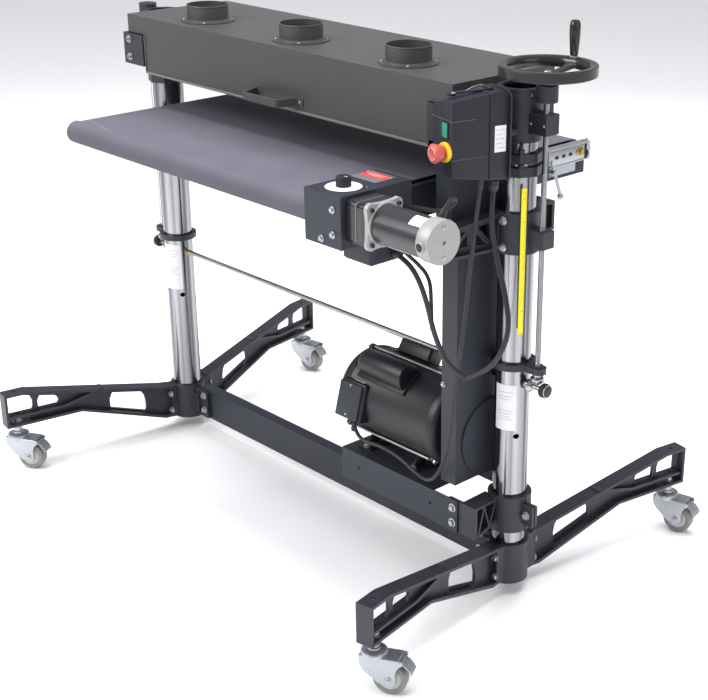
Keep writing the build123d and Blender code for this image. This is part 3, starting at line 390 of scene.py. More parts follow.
# label plate on the drive box, generic colour bands, no text
def plate(name, c, sx, sy, ang, m, body, z, t=.8, bev=.3):
    bm = bmesh.new(); add_rbox(bm, sx, sy, t, Matrix.Translation((c[0], c[1], z + t / 2)) @ Matrix.Rotation(ang, 4, "Z"), bev); return obj(name, bm, m, body)
plate("label_base", (466, -258), 78, 62, 0, "greylabel", "table", 1012.05, .6)
plate("label_band", (466, -250), 74, 30, 0, "redlabel", "table", 1012.7, .3, .1)
for i in range(3): plate("label_rule_%d" % i, (466, -243 - 6 * i), 58 - 8 * i, 1.6, 0, "white", "table", 1013.02, .12, .03)
bm = bmesh.new()
add_lathe(bm, [(0, 1012.05), (37.5, 1012.05), (38.2, 1012.5), (38.2, 1012.9), (37.6, 1013.3), (4.4, 1013.3), (4.3, 1012.2)], 72, Matrix.Translation((480, -352, 0)))
bmesh.ops.recalc_face_normals(bm, faces=bm.faces); obj("dial_disc", bm, "white", "table")
bm = bmesh.new()
for k in range(11):
    a = math.radians(-45 + 27 * k)
    add_rbox(bm, 6 if k % 5 == 0 else 4, .9, .15, Matrix.Translation((480, -352, 1013.4)) @ Matrix.Rotation(a, 4, "Z") @ Matrix.Translation((33, 0, 0)), .05, 1)
obj("dial_ticks", bm, "dark", "table")
# knurled skirt on the dial
bm = bmesh.new()
prof = []
nk = 48
A = [[], [], []]
for k in range(nk):
    a = 2 * math.pi * k / nk; r = 15.6 if k % 2 else 14.9
    for j, (dr, z) in enumerate(((0.6, 1014.05), (0, 1030), (-1.2, 1034.6))): A[j].append(bm.verts.new((480 + (r + dr) * math.cos(a), -352 + (r + dr) * math.sin(a), z)))
for X, Y in zip(A, A[1:]):
    for k in range(nk): bm.faces.new((X[k], X[(k + 1) % nk], Y[(k + 1) % nk], Y[k]))
bm.faces.new(A[2]); bm.faces.new(A[0][::-1])
bmesh.ops.recalc_face_normals(bm, faces=bm.faces); obj("dial_knob", bm, "plastic", "dial", 35)
bm = bmesh.new(); add_rbox(bm, 9, 1.4, .5, Matrix.Translation((480 + 8, -352, 1034.7)), .2); obj("dial_pointer", bm, "white", "dial")

# gearmotor: two-part gearbox, lobed flange, motor tube, end cap, brush holder
def rsq(w, r, n=8, waist=0.):
    """Square with round corners, its sides drawn in by waist between the corners."""
    P = []
    for cx_, cy_, a0 in ((w - r, w - r, 0), (-w + r, w - r, 90), (-w + r, -w + r, 180), (w - r, -w + r, 270)):
        for k in range(n + 1):
            a = math.radians(a0 + 90 * k / n); P.append((cx_ + r * math.cos(a), cy_ + r * math.sin(a)))
    if waist:
        Q = []
        for i, p in enumerate(P):
            Q.append(p)
            if i % (n + 1) == n:
                q = P[(i + 1) % len(P)]
                for t in (.1, .2, .35, .5, .65, .8, .9):
                    x = p[0] + (q[0] - p[0]) * t; y = p[1] + (q[1] - p[1]) * t
                    d = math.sin(math.pi * t) ** .5 * waist
                    Q.append((x - (d if abs(p[0] - q[0]) < 1e-6 else 0) * (1 if x > 0 else -1), y - (d if abs(p[1] - q[1]) < 1e-6 else 0) * (1 if y > 0 else -1)))
        P = Q
    return P
XM = Matrix(((0, 0, 1, 0), (1, 0, 0, 0), (0, 1, 0, 0), (0, 0, 0, 1)))     # local (a, b, c) -> world (c, a, b)
def xpl(x): return Matrix.Translation((x, -352, 961)) @ XM
bm = bmesh.new()
add_prism(bm, rsq(44, 9), xpl(535.3), 27.5, 1.2)
add_prism(bm, rsq(44.6, 9), xpl(566), 27.2, 1.2)
add_lathe(bm, [(40.6, 603), (41.6, 604), (41.6, 735), (40, 736)], 72, axmat((0, -352, 961), (1, 0, 0)))
fixn(bm); o = obj("gearmotor_case", bm, "gear", "table", 35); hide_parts("gearmotor")
bm = bmesh.new(); add_prism(bm, rsq(43.4, 9), xpl(562.6), 3.6, .3)
bmesh.ops.recalc_face_normals(bm, faces=bm.faces); obj("gearbox_gasket", bm, "seam", "table", 35)
bm = bmesh.new(); add_prism(bm, rsq(49, 14, 8, 3.2), xpl(593), 10.5, 1.4)
add_lathe(bm, [(38, 602), (46, 602), (46, 606.5), (44.8, 608), (41.7, 608)], 72, axmat((0, -352, 961), (1, 0, 0)))
bmesh.ops.recalc_face_normals(bm, faces=bm.faces); obj("gearmotor_flange", bm, "alu", "table", 35)
bm = bmesh.new()
m = axmat((0, -352, 961), (1, 0, 0))
add_lathe(bm, [(40, 735), (44.6, 735.4), (45, 736.4), (45, 766), (43.8, 768), (15, 768.1), (4.6, 768.1), (4.4, 764.5), (0, 764.5)], 80, m)
bmesh.ops.recalc_face_normals(bm, faces=bm.faces); obj("gearmotor_endcap", bm, "alu", "table", 35)
bm = bmesh.new()
m = axmat((750, -352 - 43, 958), (0, -1, 0))
add_lathe(bm, [(0, -2), (11, -2), (11, 5), (10.2, 6.4), (8.6, 6.4), (8.6, 4.6), (0, 4.6)], 36, m); bmesh.ops.recalc_face_normals(bm, faces=bm.faces)
obj("brush_holder", bm, "alu", "table")
bm = bmesh.new(); add_lathe(bm, [(0, 4.7), (8.3, 4.7), (8.3, 5.8), (7.2, 6.6), (0, 6.6)], 30, m); add_rbox(bm, 11, 1.4, 1.2, m @ Matrix.Translation((0, 0, 6.6)), .2, 1); bmesh.ops.recalc_face_normals(bm, faces=bm.faces); obj("brush_cap", bm, "plastic", "table")
bm = bmesh.new()
for y in (-36.5, 36.5):
    for z in (-36.5, 36.5): sockhead(bm, (603.6, -352 + y, 961 + z), (1, 0, 0), 4.6, 5)
fixn(bm); obj("flange_screws", bm, "gear", "table")
bm = bmesh.new()
for z in (-30, 30): panhead(bm, (768, -352, 961 + z), (1, 0, 0), 4.8, 1.6)
panhead(bm, (768, -352 - 16, 961 + 6), (1, 0, 0), 2.6, .8)
fixn(bm); obj("endcap_screws", bm, "zinc", "table")
bm = bmesh.new(); add_rbox(bm, 4.2, 7, 111, Matrix.Translation((535.4, -407.8, 957)), 1.6, 2); obj("drive_box_hem", bm, "coat", "table")
bm = bmesh.new(); add_lathe(bm, [(0, 1012.0), (2.1, 1012.0), (2.1, 1013.0), (1.4, 1013.8), (0, 1013.9)], 20, Matrix.Translation((517, -322, 0))); fixn(bm); obj("power_lamp", bm, "red", "table")
def patch(name, x0, x1, a0, a1, r, y, z, mname, body, axis="x", th=.5):
    bm = bmesh.new(); n = 16; V = []
    for k in range(n + 1):
        a = math.radians(a0 + (a1 - a0) * k / n)
        row = []
        for rr in (r, r + th):
            for xx in (x0, x1):
                if axis == "x": row.append(bm.verts.new((xx, y + rr * math.cos(a), z + rr * math.sin(a))))
                else: row.append(bm.verts.new((y + rr * math.cos(a), z + rr * math.sin(a), xx)))
        V.append(row)
    for P, Q in zip(V, V[1:]):
        for i, j in ((0, 1), (1, 3), (3, 2), (2, 0)): bm.faces.new((P[i], P[j], Q[j], Q[i]))
    bm.faces.new((V[0][0], V[0][1], V[0][3], V[0][2])); bm.faces.new((V[-1][0], V[-1][2], V[-1][3], V[-1][1]))
    bmesh.ops.recalc_face_normals(bm, faces=bm.faces)
    return obj(name, bm, mname, body, 30)
patch("gearmotor_label", 700, 733, 98, 136, 41.62, -352, 961, "paper", "table", th=.25)
for j, a_ in enumerate((104, 111, 118, 125)): patch("gearmotor_rule_%d" % j, 704, 729 - 5 * (j % 2), a_, a_ + 1.6, 41.88, -352, 961, "paperline", "table", th=.08)
# column stickers, blank
patch("column_label_right", 423, 533, -110, -33, 39.55, 636, 0, "paper", "frame", "z", .15)
patch("column_label_left", 425, 556, -109, -27, 39.55, -636, 0, "paper", "frame", "z", .15)
for j, zz in enumerate((515, 505, 498, 470, 463, 456, 449)):
    patch("column_rule_%d" % j, zz, zz + 1.6, -100 + 3 * (j % 3), -45 - 4 * (j % 3), 39.72, 636, 0, "paperline", "frame", "z", .06)
for j, zz in enumerate((538, 528, 521, 490, 483, 476, 469)):
    patch("column_rule_l%d" % j, zz, zz + 1.6, -100 + 3 * (j % 3), -40 - 4 * (j % 3), 39.72, -636, 0, "paperline", "frame", "z", .06)
# depth scale strip beside the right column with graduation marks
a = math.radians(-34.5)
sc = Matrix.Translation((636 + 57.5 * math.cos(a), 57.5 * math.sin(a), 825)) @ Matrix.Rotation(a, 4, "Z")
bm = bmesh.new(); add_rbox(bm, 1.2, 12, 326, sc, .4, 1); obj("depth_scale", bm, "yellow", "frame")
bm = bmesh.new()
for k in range(64):
    w = 7 if k % 10 == 0 else (5 if k % 5 == 0 else 3)
    add_rbox(bm, .2, w, .6, sc @ Matrix.Translation((.68, 6 - w / 2, -160 + 5 * k)), 0, 1)
obj("depth_scale_marks", bm, "dark", "frame")

# ------------------------------------------------------------ control box
TH = math.radians(14)
def cbm(u, v, z):
    return Matrix.Translation((665 - math.cos(TH) * u + math.sin(TH) * v, -229 + math.sin(TH) * u + math.cos(TH) * v, z)) @ Matrix.Rotation(-TH, 4, "Z")
def cmp_(name, u, v, z, sx, sy, sz, m, bev=2., body="frame", rx=0.):
    bm = bmesh.new(); add_rbox(bm, sx, sy, sz, cbm(u, v, z) @ Matrix.Rotation(rx, 4, "X"), bev, 3); return obj(name, bm, m, body)
def loft(bm, rings):
    R = [[bm.verts.new(Vector(p)) for p in r] for r in rings]
    n = len(R[0])
    for A, B in zip(R, R[1:]):
        for k in range(n): bm.faces.new((A[k], A[(k + 1) % n], B[(k + 1) % n], B[k]))
    bm.faces.new(R[0][::-1]); bm.faces.new(R[-1])
def rrect(u0, u1, z0, z1, r, v, cutbl=0., n=6):
    """Rounded rectangle in the (u, z) plane at depth v; cutbl slopes its lower outer corner."""
    P = []
    for uc, zc, a0, rr in ((u1 - r, z1 - r, 0, r), (u0 + r, z1 - r, 90, r), (u0 + r, z0 + r, 180, r)):
        for k in range(n + 1):
            a = math.radians(a0 + 90 * k / n); P.append((uc + rr * math.cos(a), zc + rr * math.sin(a)))
    c = max(cutbl, r)
    for k in range(n + 1):
        t = k / n; a = math.radians(270 + 90 * t)
        P.append((u1 - c + c * math.cos(a) if c == r else u1 - c + c * t, z0 + c + c * math.sin(a) if c == r else z0 + c * .72 * t ** 1.4))
    return [tuple(cbm(u, v, z).to_translation()) for u, z in P]
def lidr(u0, u1, z0, z1, v, dz):
    """Lid section: the top falls away and the bottom rises towards the outer (left) side, with round corners."""
    K = [(u0, z1, 5), (u0, z0, 5), ((u0 + u1) / 2 + 6, z0 + dz * .05, 14), (u1, z0 + dz * 1.15, 6), (u1, z1 - dz * 1.05, 6), ((u0 + u1) / 2 - 4, z1 - dz * .08, 22)]
    P = []
    for i, (u, z, r) in enumerate(K):
        a = Vector(K[i - 1][:2]) - Vector((u, z)); b = Vector(K[(i + 1) % 6][:2]) - Vector((u, z))
        p, q = Vector((u, z)) + a.normalized() * r, Vector((u, z)) + b.normalized() * r
        for k in range(7):
            t = k / 6; P.append((1 - t) ** 2 * p + 2 * t * (1 - t) * Vector((u, z)) + t * t * q)
    return [tuple(cbm(c.x, v, c.y).to_translation()) for c in P]
bm = bmesh.new()
loft(bm, [lidr(3, 73, 1045, 1190, 0, 14), lidr(1.4, 75, 1041.5, 1193.6, .7, 14), lidr(.3, 76.6, 1040, 1195, 3, 14), lidr(-.4, 78, 1034, 1198.5, 40, 10), lidr(-.8, 79, 1027, 1201.5, 84.2, 5), lidr(.2, 78, 1028, 1200.5, 85.3, 5)])
bmesh.ops.recalc_face_normals(bm, faces=bm.faces); o = obj("box_lid", bm, "plastic", "frame", 28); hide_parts("control_box")
bm = bmesh.new()
loft(bm, [rrect(1.6, 76.6, 1029, 1200, 6, 85.2, 7), rrect(1.6, 76.6, 1029, 1200, 6, 87.2, 7)])
loft(bm, [rrect(.2, 78, 1026, 1202, 6, 87, 7), rrect(-1, 79.4, 1025, 1203.2, 6.6, 88, 7), rrect(-1.4, 80, 1022, 1204, 7, 130, 7), rrect(-.6, 79, 1023, 1203, 6.6, 131.6, 7)])
bmesh.ops.recalc_face_normals(bm, faces=bm.faces); obj("box_base", bm, "plastic", "frame", 28)
bm = bmesh.new()
loft(bm, [rrect(-6.6, 85, 1019, 1205.4, 17, 131.8, 9), rrect(-7.6, 86, 1018, 1206.4, 18, 132.5, 9), rrect(-7.6, 86, 1018, 1206.4, 18, 134.6, 9), rrect(-6.8, 85, 1019, 1205.6, 17.4, 135.2, 9)])
add_rbox(bm, 36, 54, 12, Matrix.Translation((650, -67, 1106)), 1)
bmesh.ops.recalc_face_normals(bm, faces=bm.faces); obj("box_mount_plate", bm, "coat", "frame", 28)
# moulded ribs round the lid, coloured lighter than the lid as a painted highlight
def rib(name, z, v1):
    bm = bmesh.new()
    a0 = Vector(cbm(0, 0, 0).to_translation()); 
    add_rbox(bm, 76, 1.8, 1.6, cbm(39, -.2, z), .5, 2)
    add_rbox(bm, 1.8, v1, 1.6, cbm(-.2, v1 / 2, z), .5, 2)
    add_rbox(bm, 1.8, v1, 1.6, cbm(78.2, v1 / 2, z), .5, 2)
    obj(name, bm, "rib_painted_highlight", "frame")
rib("lid_rib_upper", 1155.5, 56); rib("lid_rib_lower", 1078, 78)
cmp_("latch_strap", 39, 64, 1204.0, 13, 92, 3.6, "plastic", 1.3)
cmp_("latch_hump", 39, 20, 1201.6, 16, 14, 6.6, "plastic", 2.2)
cmp_("latch_catch", 39, 106, 1206.2, 24, 12, 5, "plastic", 1.8)
cmp_("box_label", -1.15, 112, 1110, .5, 27, 54, "paper", .2)
for j in range(5): cmp_("box_label_rule_%d" % j, -1.42, 111 - (j % 2) * 2, 1092 + 9 * j, .14, 19 - 4 * (j % 2), 1.3, "paperline", .04)
cmp_("green_bezel", 26, -1.0, 1135, 24, 3, 35, "plastic", 1)
bm = bmesh.new(); panhead(bm, tuple(cbm(30, 20, 1204.6).to_translation()), (0, 0, 1), 4.4, 3)
fixn(bm); obj("latch_screw", bm, "zinc", "frame")
bm = bmesh.new()
for u in (6, 71):
    for z in (1052, 1186): panhead(bm, tuple(cbm(u, .6, z).to_translation()), (-math.sin(TH), -math.cos(TH), 0), 2.6, 1.2)
fixn(bm); obj("box_screws", bm, "plastic", "frame")
def cpt(u, v, z):
    return tuple(cbm(u, v, z).to_translation())
cable("lock_wire", [cpt(34, 50, 1206), cpt(26, 58, 1214), cpt(16, 74, 1221), cpt(22, 92, 1214), cpt(34, 104, 1207)], .8, "zinc", "frame")
# start key
bm = bmesh.new(); add_rbox(bm, 20, 12, 30, cbm(26, 3, 1135), 1.4, 3); o = obj("start_key", bm, "green", "start"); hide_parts("start_button")
# stop button: mushroom head, collar, arrow ring
ax = (-math.sin(TH), -math.cos(TH), 0)
m = axmat(cpt(21, 0, 1092), ax)
bm = bmesh.new()
add_lathe(bm, [(0, 5), (11.6, 5), (11.8, 12), (14.2, 13.2), (16.6, 14.6), (17.4, 18), (17.8, 24), (19.6, 27), (19.9, 30), (18.6, 32.6), (15.4, 34.4), (10.2, 35), (9.8, 34.4), (0, 34.4)], 56, m)
bmesh.ops.recalc_face_normals(bm, faces=bm.faces); o = obj("stop_mushroom", bm, "red", "stop", 60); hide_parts("stop_button")
bm = bmesh.new(); add_lathe(bm, [(12.4, -1), (19.6, -1), (20.2, .2), (20.2, 7.0), (19.4, 8.2), (12.4, 8.2), (12.4, -1)], 56, m); fixn(bm); obj("stop_collar", bm, "ycollar", "frame")
bm = bmesh.new()
for k in range(3):
    a0 = math.radians(120 * k + 10); add_lathe(bm, [(11.8, 34.6), (11.8, 35.1), (13.0, 34.95), (13.0, 34.4), (11.8, 34.6)], 18, m, a0, a0 + math.radians(85))
fixn(bm); obj("stop_arrows", bm, "white", "stop")

# glands and cables
def gland(name, p, d, r, body, m="rubber"):
    bm = bmesh.new(); mm = axmat(p, d)
    add_lathe(bm, [(0, 0), (r * 1.5, 0), (r * 1.5, 7), (r * 1.35, 8)], 6, mm)
    add_lathe(bm, [(r * 1.35, 8), (r * 1.32, 16), (r * 1.1, 19), (r, 22), (0, 22)], 28, mm)
    bmesh.ops.recalc_face_normals(bm, faces=bm.faces); return obj(name, bm, m, body)
g1 = cpt(14, 108, 1022); g2 = cpt(10, 74, 1030)
gland("gland_large", g1, (0, 0, -1), 8, "frame"); gland("gland_small", g2, (0, 0, -1), 5, "frame")
cable("cable_motor", [(g2[0], g2[1], 1018), (g2[0] - 4, g2[1] - 4, 960), (663, -165, 878), (652, -165, 788), (648, -168, 715), (632, -168, 619), (617, -166, 550), (607, -163, 462), (588, -160, 376), (548, -152, 306), (505, -142, 280), (452, -132, 284), (394, -124, 296), (330, -122, 300), (284, -126, 296), (256, -130, 304), (244, -128, 326)], 4.6, "rubber", "frame")
LOOP = [(690, -205, 612), (672, -213, 616), (655, -222, 630)]
cable("cable_feed", [(g1[0], g1[1], 1004), (g1[0] + 4, g1[1] - 12, 950), (704, -140, 880), (750, -155, 800), (776, -170, 740), (770, -182, 690), (738, -192, 640), (690, -205, 612)], 5.6, "rubber", "frame")
def riser(name, pts, r):
    o = cable(name, pts, r, "rubber", None)
    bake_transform(o)
riser("cable_feed_riser", [(690, -205, 612), (655, -222, 630), (632, -242, 700), (620, -254, 780), (600, -262, 832), (566, -262, 856), (534, -262, 864)], 5.6)
riser("cable_sense_riser", [(628, -246, 716), (612, -232, 770), (590, -215, 812), (560, -225, 842), (533, -255, 878)], 4.2)
gland("gland_feed", (530, -262, 864), (1, 0, 0), 7, "table"); gland("gland_sense", (530, -258, 882), (1, 0, 0), 5, "table")
gland("gland_gearmotor", (742, -336, 1000), (.15, .45, .88), 5.5, "table")
cable("cable_gearmotor", [(743, -330, 1014), (745, -322, 1026), (744, -308, 1034), (738, -292, 1030), (722, -276, 1014), (690, -262, 992), (640, -247, 974), (590, -238, 967), (545, -238, 962), (533, -244, 960)], 4.2, "rubber", "table")
gland("gland_junction", (244, -126, 334), (0, -.3, -1), 5, "frame")

# ------------------------------------------------------------ motor: through rods, domed bell, fan slots drawn as dark bars of painted shade
MY, MZ = -15.0, 379.0
m = axmat((0, MY, MZ), (1, 0, 0))
bm = bmesh.new()
add_lathe(bm, [(0, 161), (26, 161), (28, 159.5), (34, 159.5), (38, 161.5), (64, 163.5), (84, 168), (97, 175), (103.5, 184), (106.4, 195), (106.6, 203), (104.6, 205), (104.2, 206), (104.2, 474), (104.6, 475.5), (106.6, 477), (106.6, 492), (103, 500), (94, 505.5), (60, 508), (16, 508), (15.5, 503), (0, 503)], 96, m)
for x in (238, 400):
    add_rbox(bm, 42, 156, 4, Matrix.Translation((x, MY, 251)), 1.2)
    for s in (-1, 1): add_prism(bm, [(-78, 0), (-30, 0), (-18, 34), (-30, 38), (-66, 12)] if s < 0 else [(78, 0), (66, 12), (30, 38), (18, 34), (30, 0)], Matrix.Translation((x - 4, MY, 252)) @ XM, 8, .8)
fixn(bm); o = obj("motor_shell", bm, "motor", "frame", 40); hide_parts("motor_body")
bm = bmesh.new()
for ang in (221, 311, 41, 93):
    a = math.radians(ang); y = MY + 109.6 * math.cos(a); z = MZ + 109.6 * math.sin(a)
    add_lathe(bm, [(0, 190), (3.4, 190), (3.4, 492), (0, 492)], 16, axmat((0, y, z), (1, 0, 0)))
    hexhead(bm, (488, y, z), (1, 0, 0), 6.4, 6, False); hexhead(bm, (194, y, z), (-1, 0, 0), 6.4, 5, False)
fixn(bm); obj("motor_rods", bm, "steel", "frame")
bm = bmesh.new()
for ang in (221, 311, 41, 93):
    a = math.radians(ang)
    for x in (195, 480): add_rbox(bm, 16, 15, 17, Matrix.Translation((x, MY + 106 * math.cos(a), MZ + 106 * math.sin(a))) @ Matrix.Rotation(a, 4, "X"), 3)
obj("motor_lugs", bm, "motor", "frame")
# fan slots: dark bars on the bell standing in for the shade inside the openings (painted shade)
bm = bmesh.new()
for k in range(18):
    a = 2 * math.pi * k / 18
    add_rbox(bm, 3.0, 26, 5, Matrix.Translation((164.4, MY, MZ)) @ Matrix.Rotation(a, 4, "X") @ Matrix.Translation((0, 58, 0)) @ Matrix.Rotation(math.radians(8), 4, "Z"), .8, 1)
obj("motor_vents", bm, "dark", "frame")
# run capacitor cover: a long domed shell with a flange
def dome(x0, x1, y, z, r, rot, h=1.0):
    bm = bmesh.new(); n = 18; rows = []
    for x, k in ((x0, .78), (x0 + 3, .92), (x0 + 9, 1.), (x1 - 5, 1.), (x1 - 1.5, .95), (x1, .84)):
        row = []
        for i in range(n + 1):
            a = math.pi * i / n; row.append(Vector((x, r * k * math.cos(a), r * k * h * math.sin(a))))
        row = [Vector((x, r * k, -20))] + row + [Vector((x, -r * k, -20))]
        rows.append([Matrix.Translation((0, y, z)) @ Matrix.Rotation(rot, 4, "X") @ v for v in row])
    R = [[bm.verts.new(v) for v in row] for row in rows]
    for A, B in zip(R, R[1:]):
        for k in range(len(A) - 1): bm.faces.new((A[k], A[k + 1], B[k + 1], B[k]))
        bm.faces.new((A[-1], A[0], B[0], B[-1]))
    bm.faces.new(R[0]); bm.faces.new(R[-1][::-1])
    return bm
bm = dome(234, 382, -78, 478, 32, math.radians(33))
add_rbox(bm, 160, 78, 2.2, Matrix.Translation((308, MY, MZ)) @ Matrix.Rotation(math.radians(33), 4, "X") @ Matrix.Translation((0, 0, 105.5)), .8)
bmesh.ops.recalc_face_normals(bm, faces=bm.faces); o = obj("capacitor_cover_front", bm, "motor", "frame", 35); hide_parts("motor_covers")
bm = bmesh.new()
R1 = Matrix.Translation((290, MY, MZ)) @ Matrix.Rotation(math.radians(-32), 4, "X")
add_rbox(bm, 108, 50, 46, R1 @ Matrix.Translation((0, 0, 124)), 7, 3)
add_rbox(bm, 118, 62, 2.2, R1 @ Matrix.Translation((0, 0, 105.5)), .8)
obj("capacitor_cover_rear", bm, "motor", "frame", 35)
bm = bmesh.new()
R2 = Matrix.Translation((234, MY - 100, MZ + 8)) @ Matrix.Rotation(math.radians(-15), 4, "X")
add_rbox(bm, 84, 46, 96, R2 @ Matrix.Translation((0, 8, 0)), 5, 3)
obj("junction_box", bm, "motor", "frame", 35)
bm = bmesh.new()
add_rbox(bm, 76, 7, 88, R2 @ Matrix.Translation((-3, -17.5, -2)), 3, 3)
obj("junction_lid", bm, "coat", "frame", 35)
bm = bmesh.new()
for z in (-36, 36): panhead(bm, tuple((R2 @ Matrix.Translation((-3, -21, z))).to_translation()), tuple(R2.to_3x3() @ Vector((0, -1, 0))), 3, 1.6)
fixn(bm); obj("junction_screws", bm, "zinc", "frame")
bm = bmesh.new(); add_rbox(bm, 34, 9, .6, R2 @ Matrix.Translation((8, 0, 48.2)), .2, 1); obj("junction_tag", bm, "paper", "frame")

# ------------------------------------------------------------ take-up ends, lever knob, roller ends
YM = Matrix(((0, 0, 1, 0), (1, 0, 0, 0), (0, 1, 0, 0), (0, 0, 0, 1)))
bm = bmesh.new()
for sx in (-1, 1):
    add_prism(bm, [(239, 948), (366, 948), (366, 982), (239, 982)], Matrix.Translation((sx * 510.6 - 1, 0, 0)) @ YM, 2, .5)
bmesh.ops.recalc_face_normals(bm, faces=bm.faces); obj("channel_covers", bm, "zinc", "table")
# slots in the channel covers: dark ovals standing in for the shade inside the openings (painted shade)
bm = bmesh.new()
for sx in (-1, 1):
    for y in (268, 292, 316):
        add_lathe(bm, [(0, 0), (4.4, 0), (4.4, .5), (0, .5)], 20, axmat((sx * 511.5, y, 966), (sx, 0, 0)) @ Matrix.Scale(1.5, 4, (1, 0, 0)))
bmesh.ops.recalc_face_normals(bm, faces=bm.faces); obj("channel_slots", bm, "dark", "table")
bm = bmesh.new()
for sx in (-1, 1):
    hexhead(bm, (sx * 511.6, 350, 966), (sx, 0, 0), 8, 6); hexhead(bm, (sx * 502, 390, 966), (0, 1, 0), 6, 4, False)
    add_lathe(bm, [(0, 0), (2.6, 0), (2.6, 20), (0, 20)], 14, axmat((sx * 498, 372, 984), (0, 1, .15)))
fixn(bm); obj("takeup_nuts", bm, "bronze", "table")
bm = bmesh.new()
add_lathe(bm, [(0, -8.1), (4.2, -7), (7, -4), (8.1, 0), (7, 4), (4.2, 7), (0, 8.1)], 28, axmat((521, 274.5, 875), (0, .3, -1))); bmesh.ops.recalc_face_normals(bm, faces=bm.faces)
obj("lever_knob", bm, "clear", "lever", 60)
bm = bmesh.new()
for sx in (-1, 1):
    for y in (-380, 370):
        if sx > 0 and y < 0: continue
        add_lathe(bm, [(0, 0), (13, 0), (13, 3), (11, 4), (7, 4), (6.6, 3), (0, 3)], 30, axmat((sx * 487, y, 958), (sx, 0, 0)))
bmesh.ops.recalc_face_normals(bm, faces=bm.faces); obj("roller_caps", bm, "zinc", "table")
bm = bmesh.new()
add_lathe(bm, [(17.6, 467), (26.2, 467), (26.6, 467.6), (26.6, 483), (17.6, 483), (17.6, 467)], 60, axmat((0, -380, 958), (-1, 0, 0)))
bmesh.ops.recalc_face_normals(bm, faces=bm.faces); obj("roller_end_sleeve", bm, "belt", "table", 35)
bm = bmesh.new()
add_lathe(bm, [(12, 487.2), (24.6, 487.6), (25.8, 486.6), (26.2, 483), (17.6, 483), (17.2, 486.8), (12, 487.2)], 60, axmat((0, -380, 958), (-1, 0, 0)))
bmesh.ops.recalc_face_normals(bm, faces=bm.faces); obj("roller_end_ring", bm, "ringw", "table", 35)

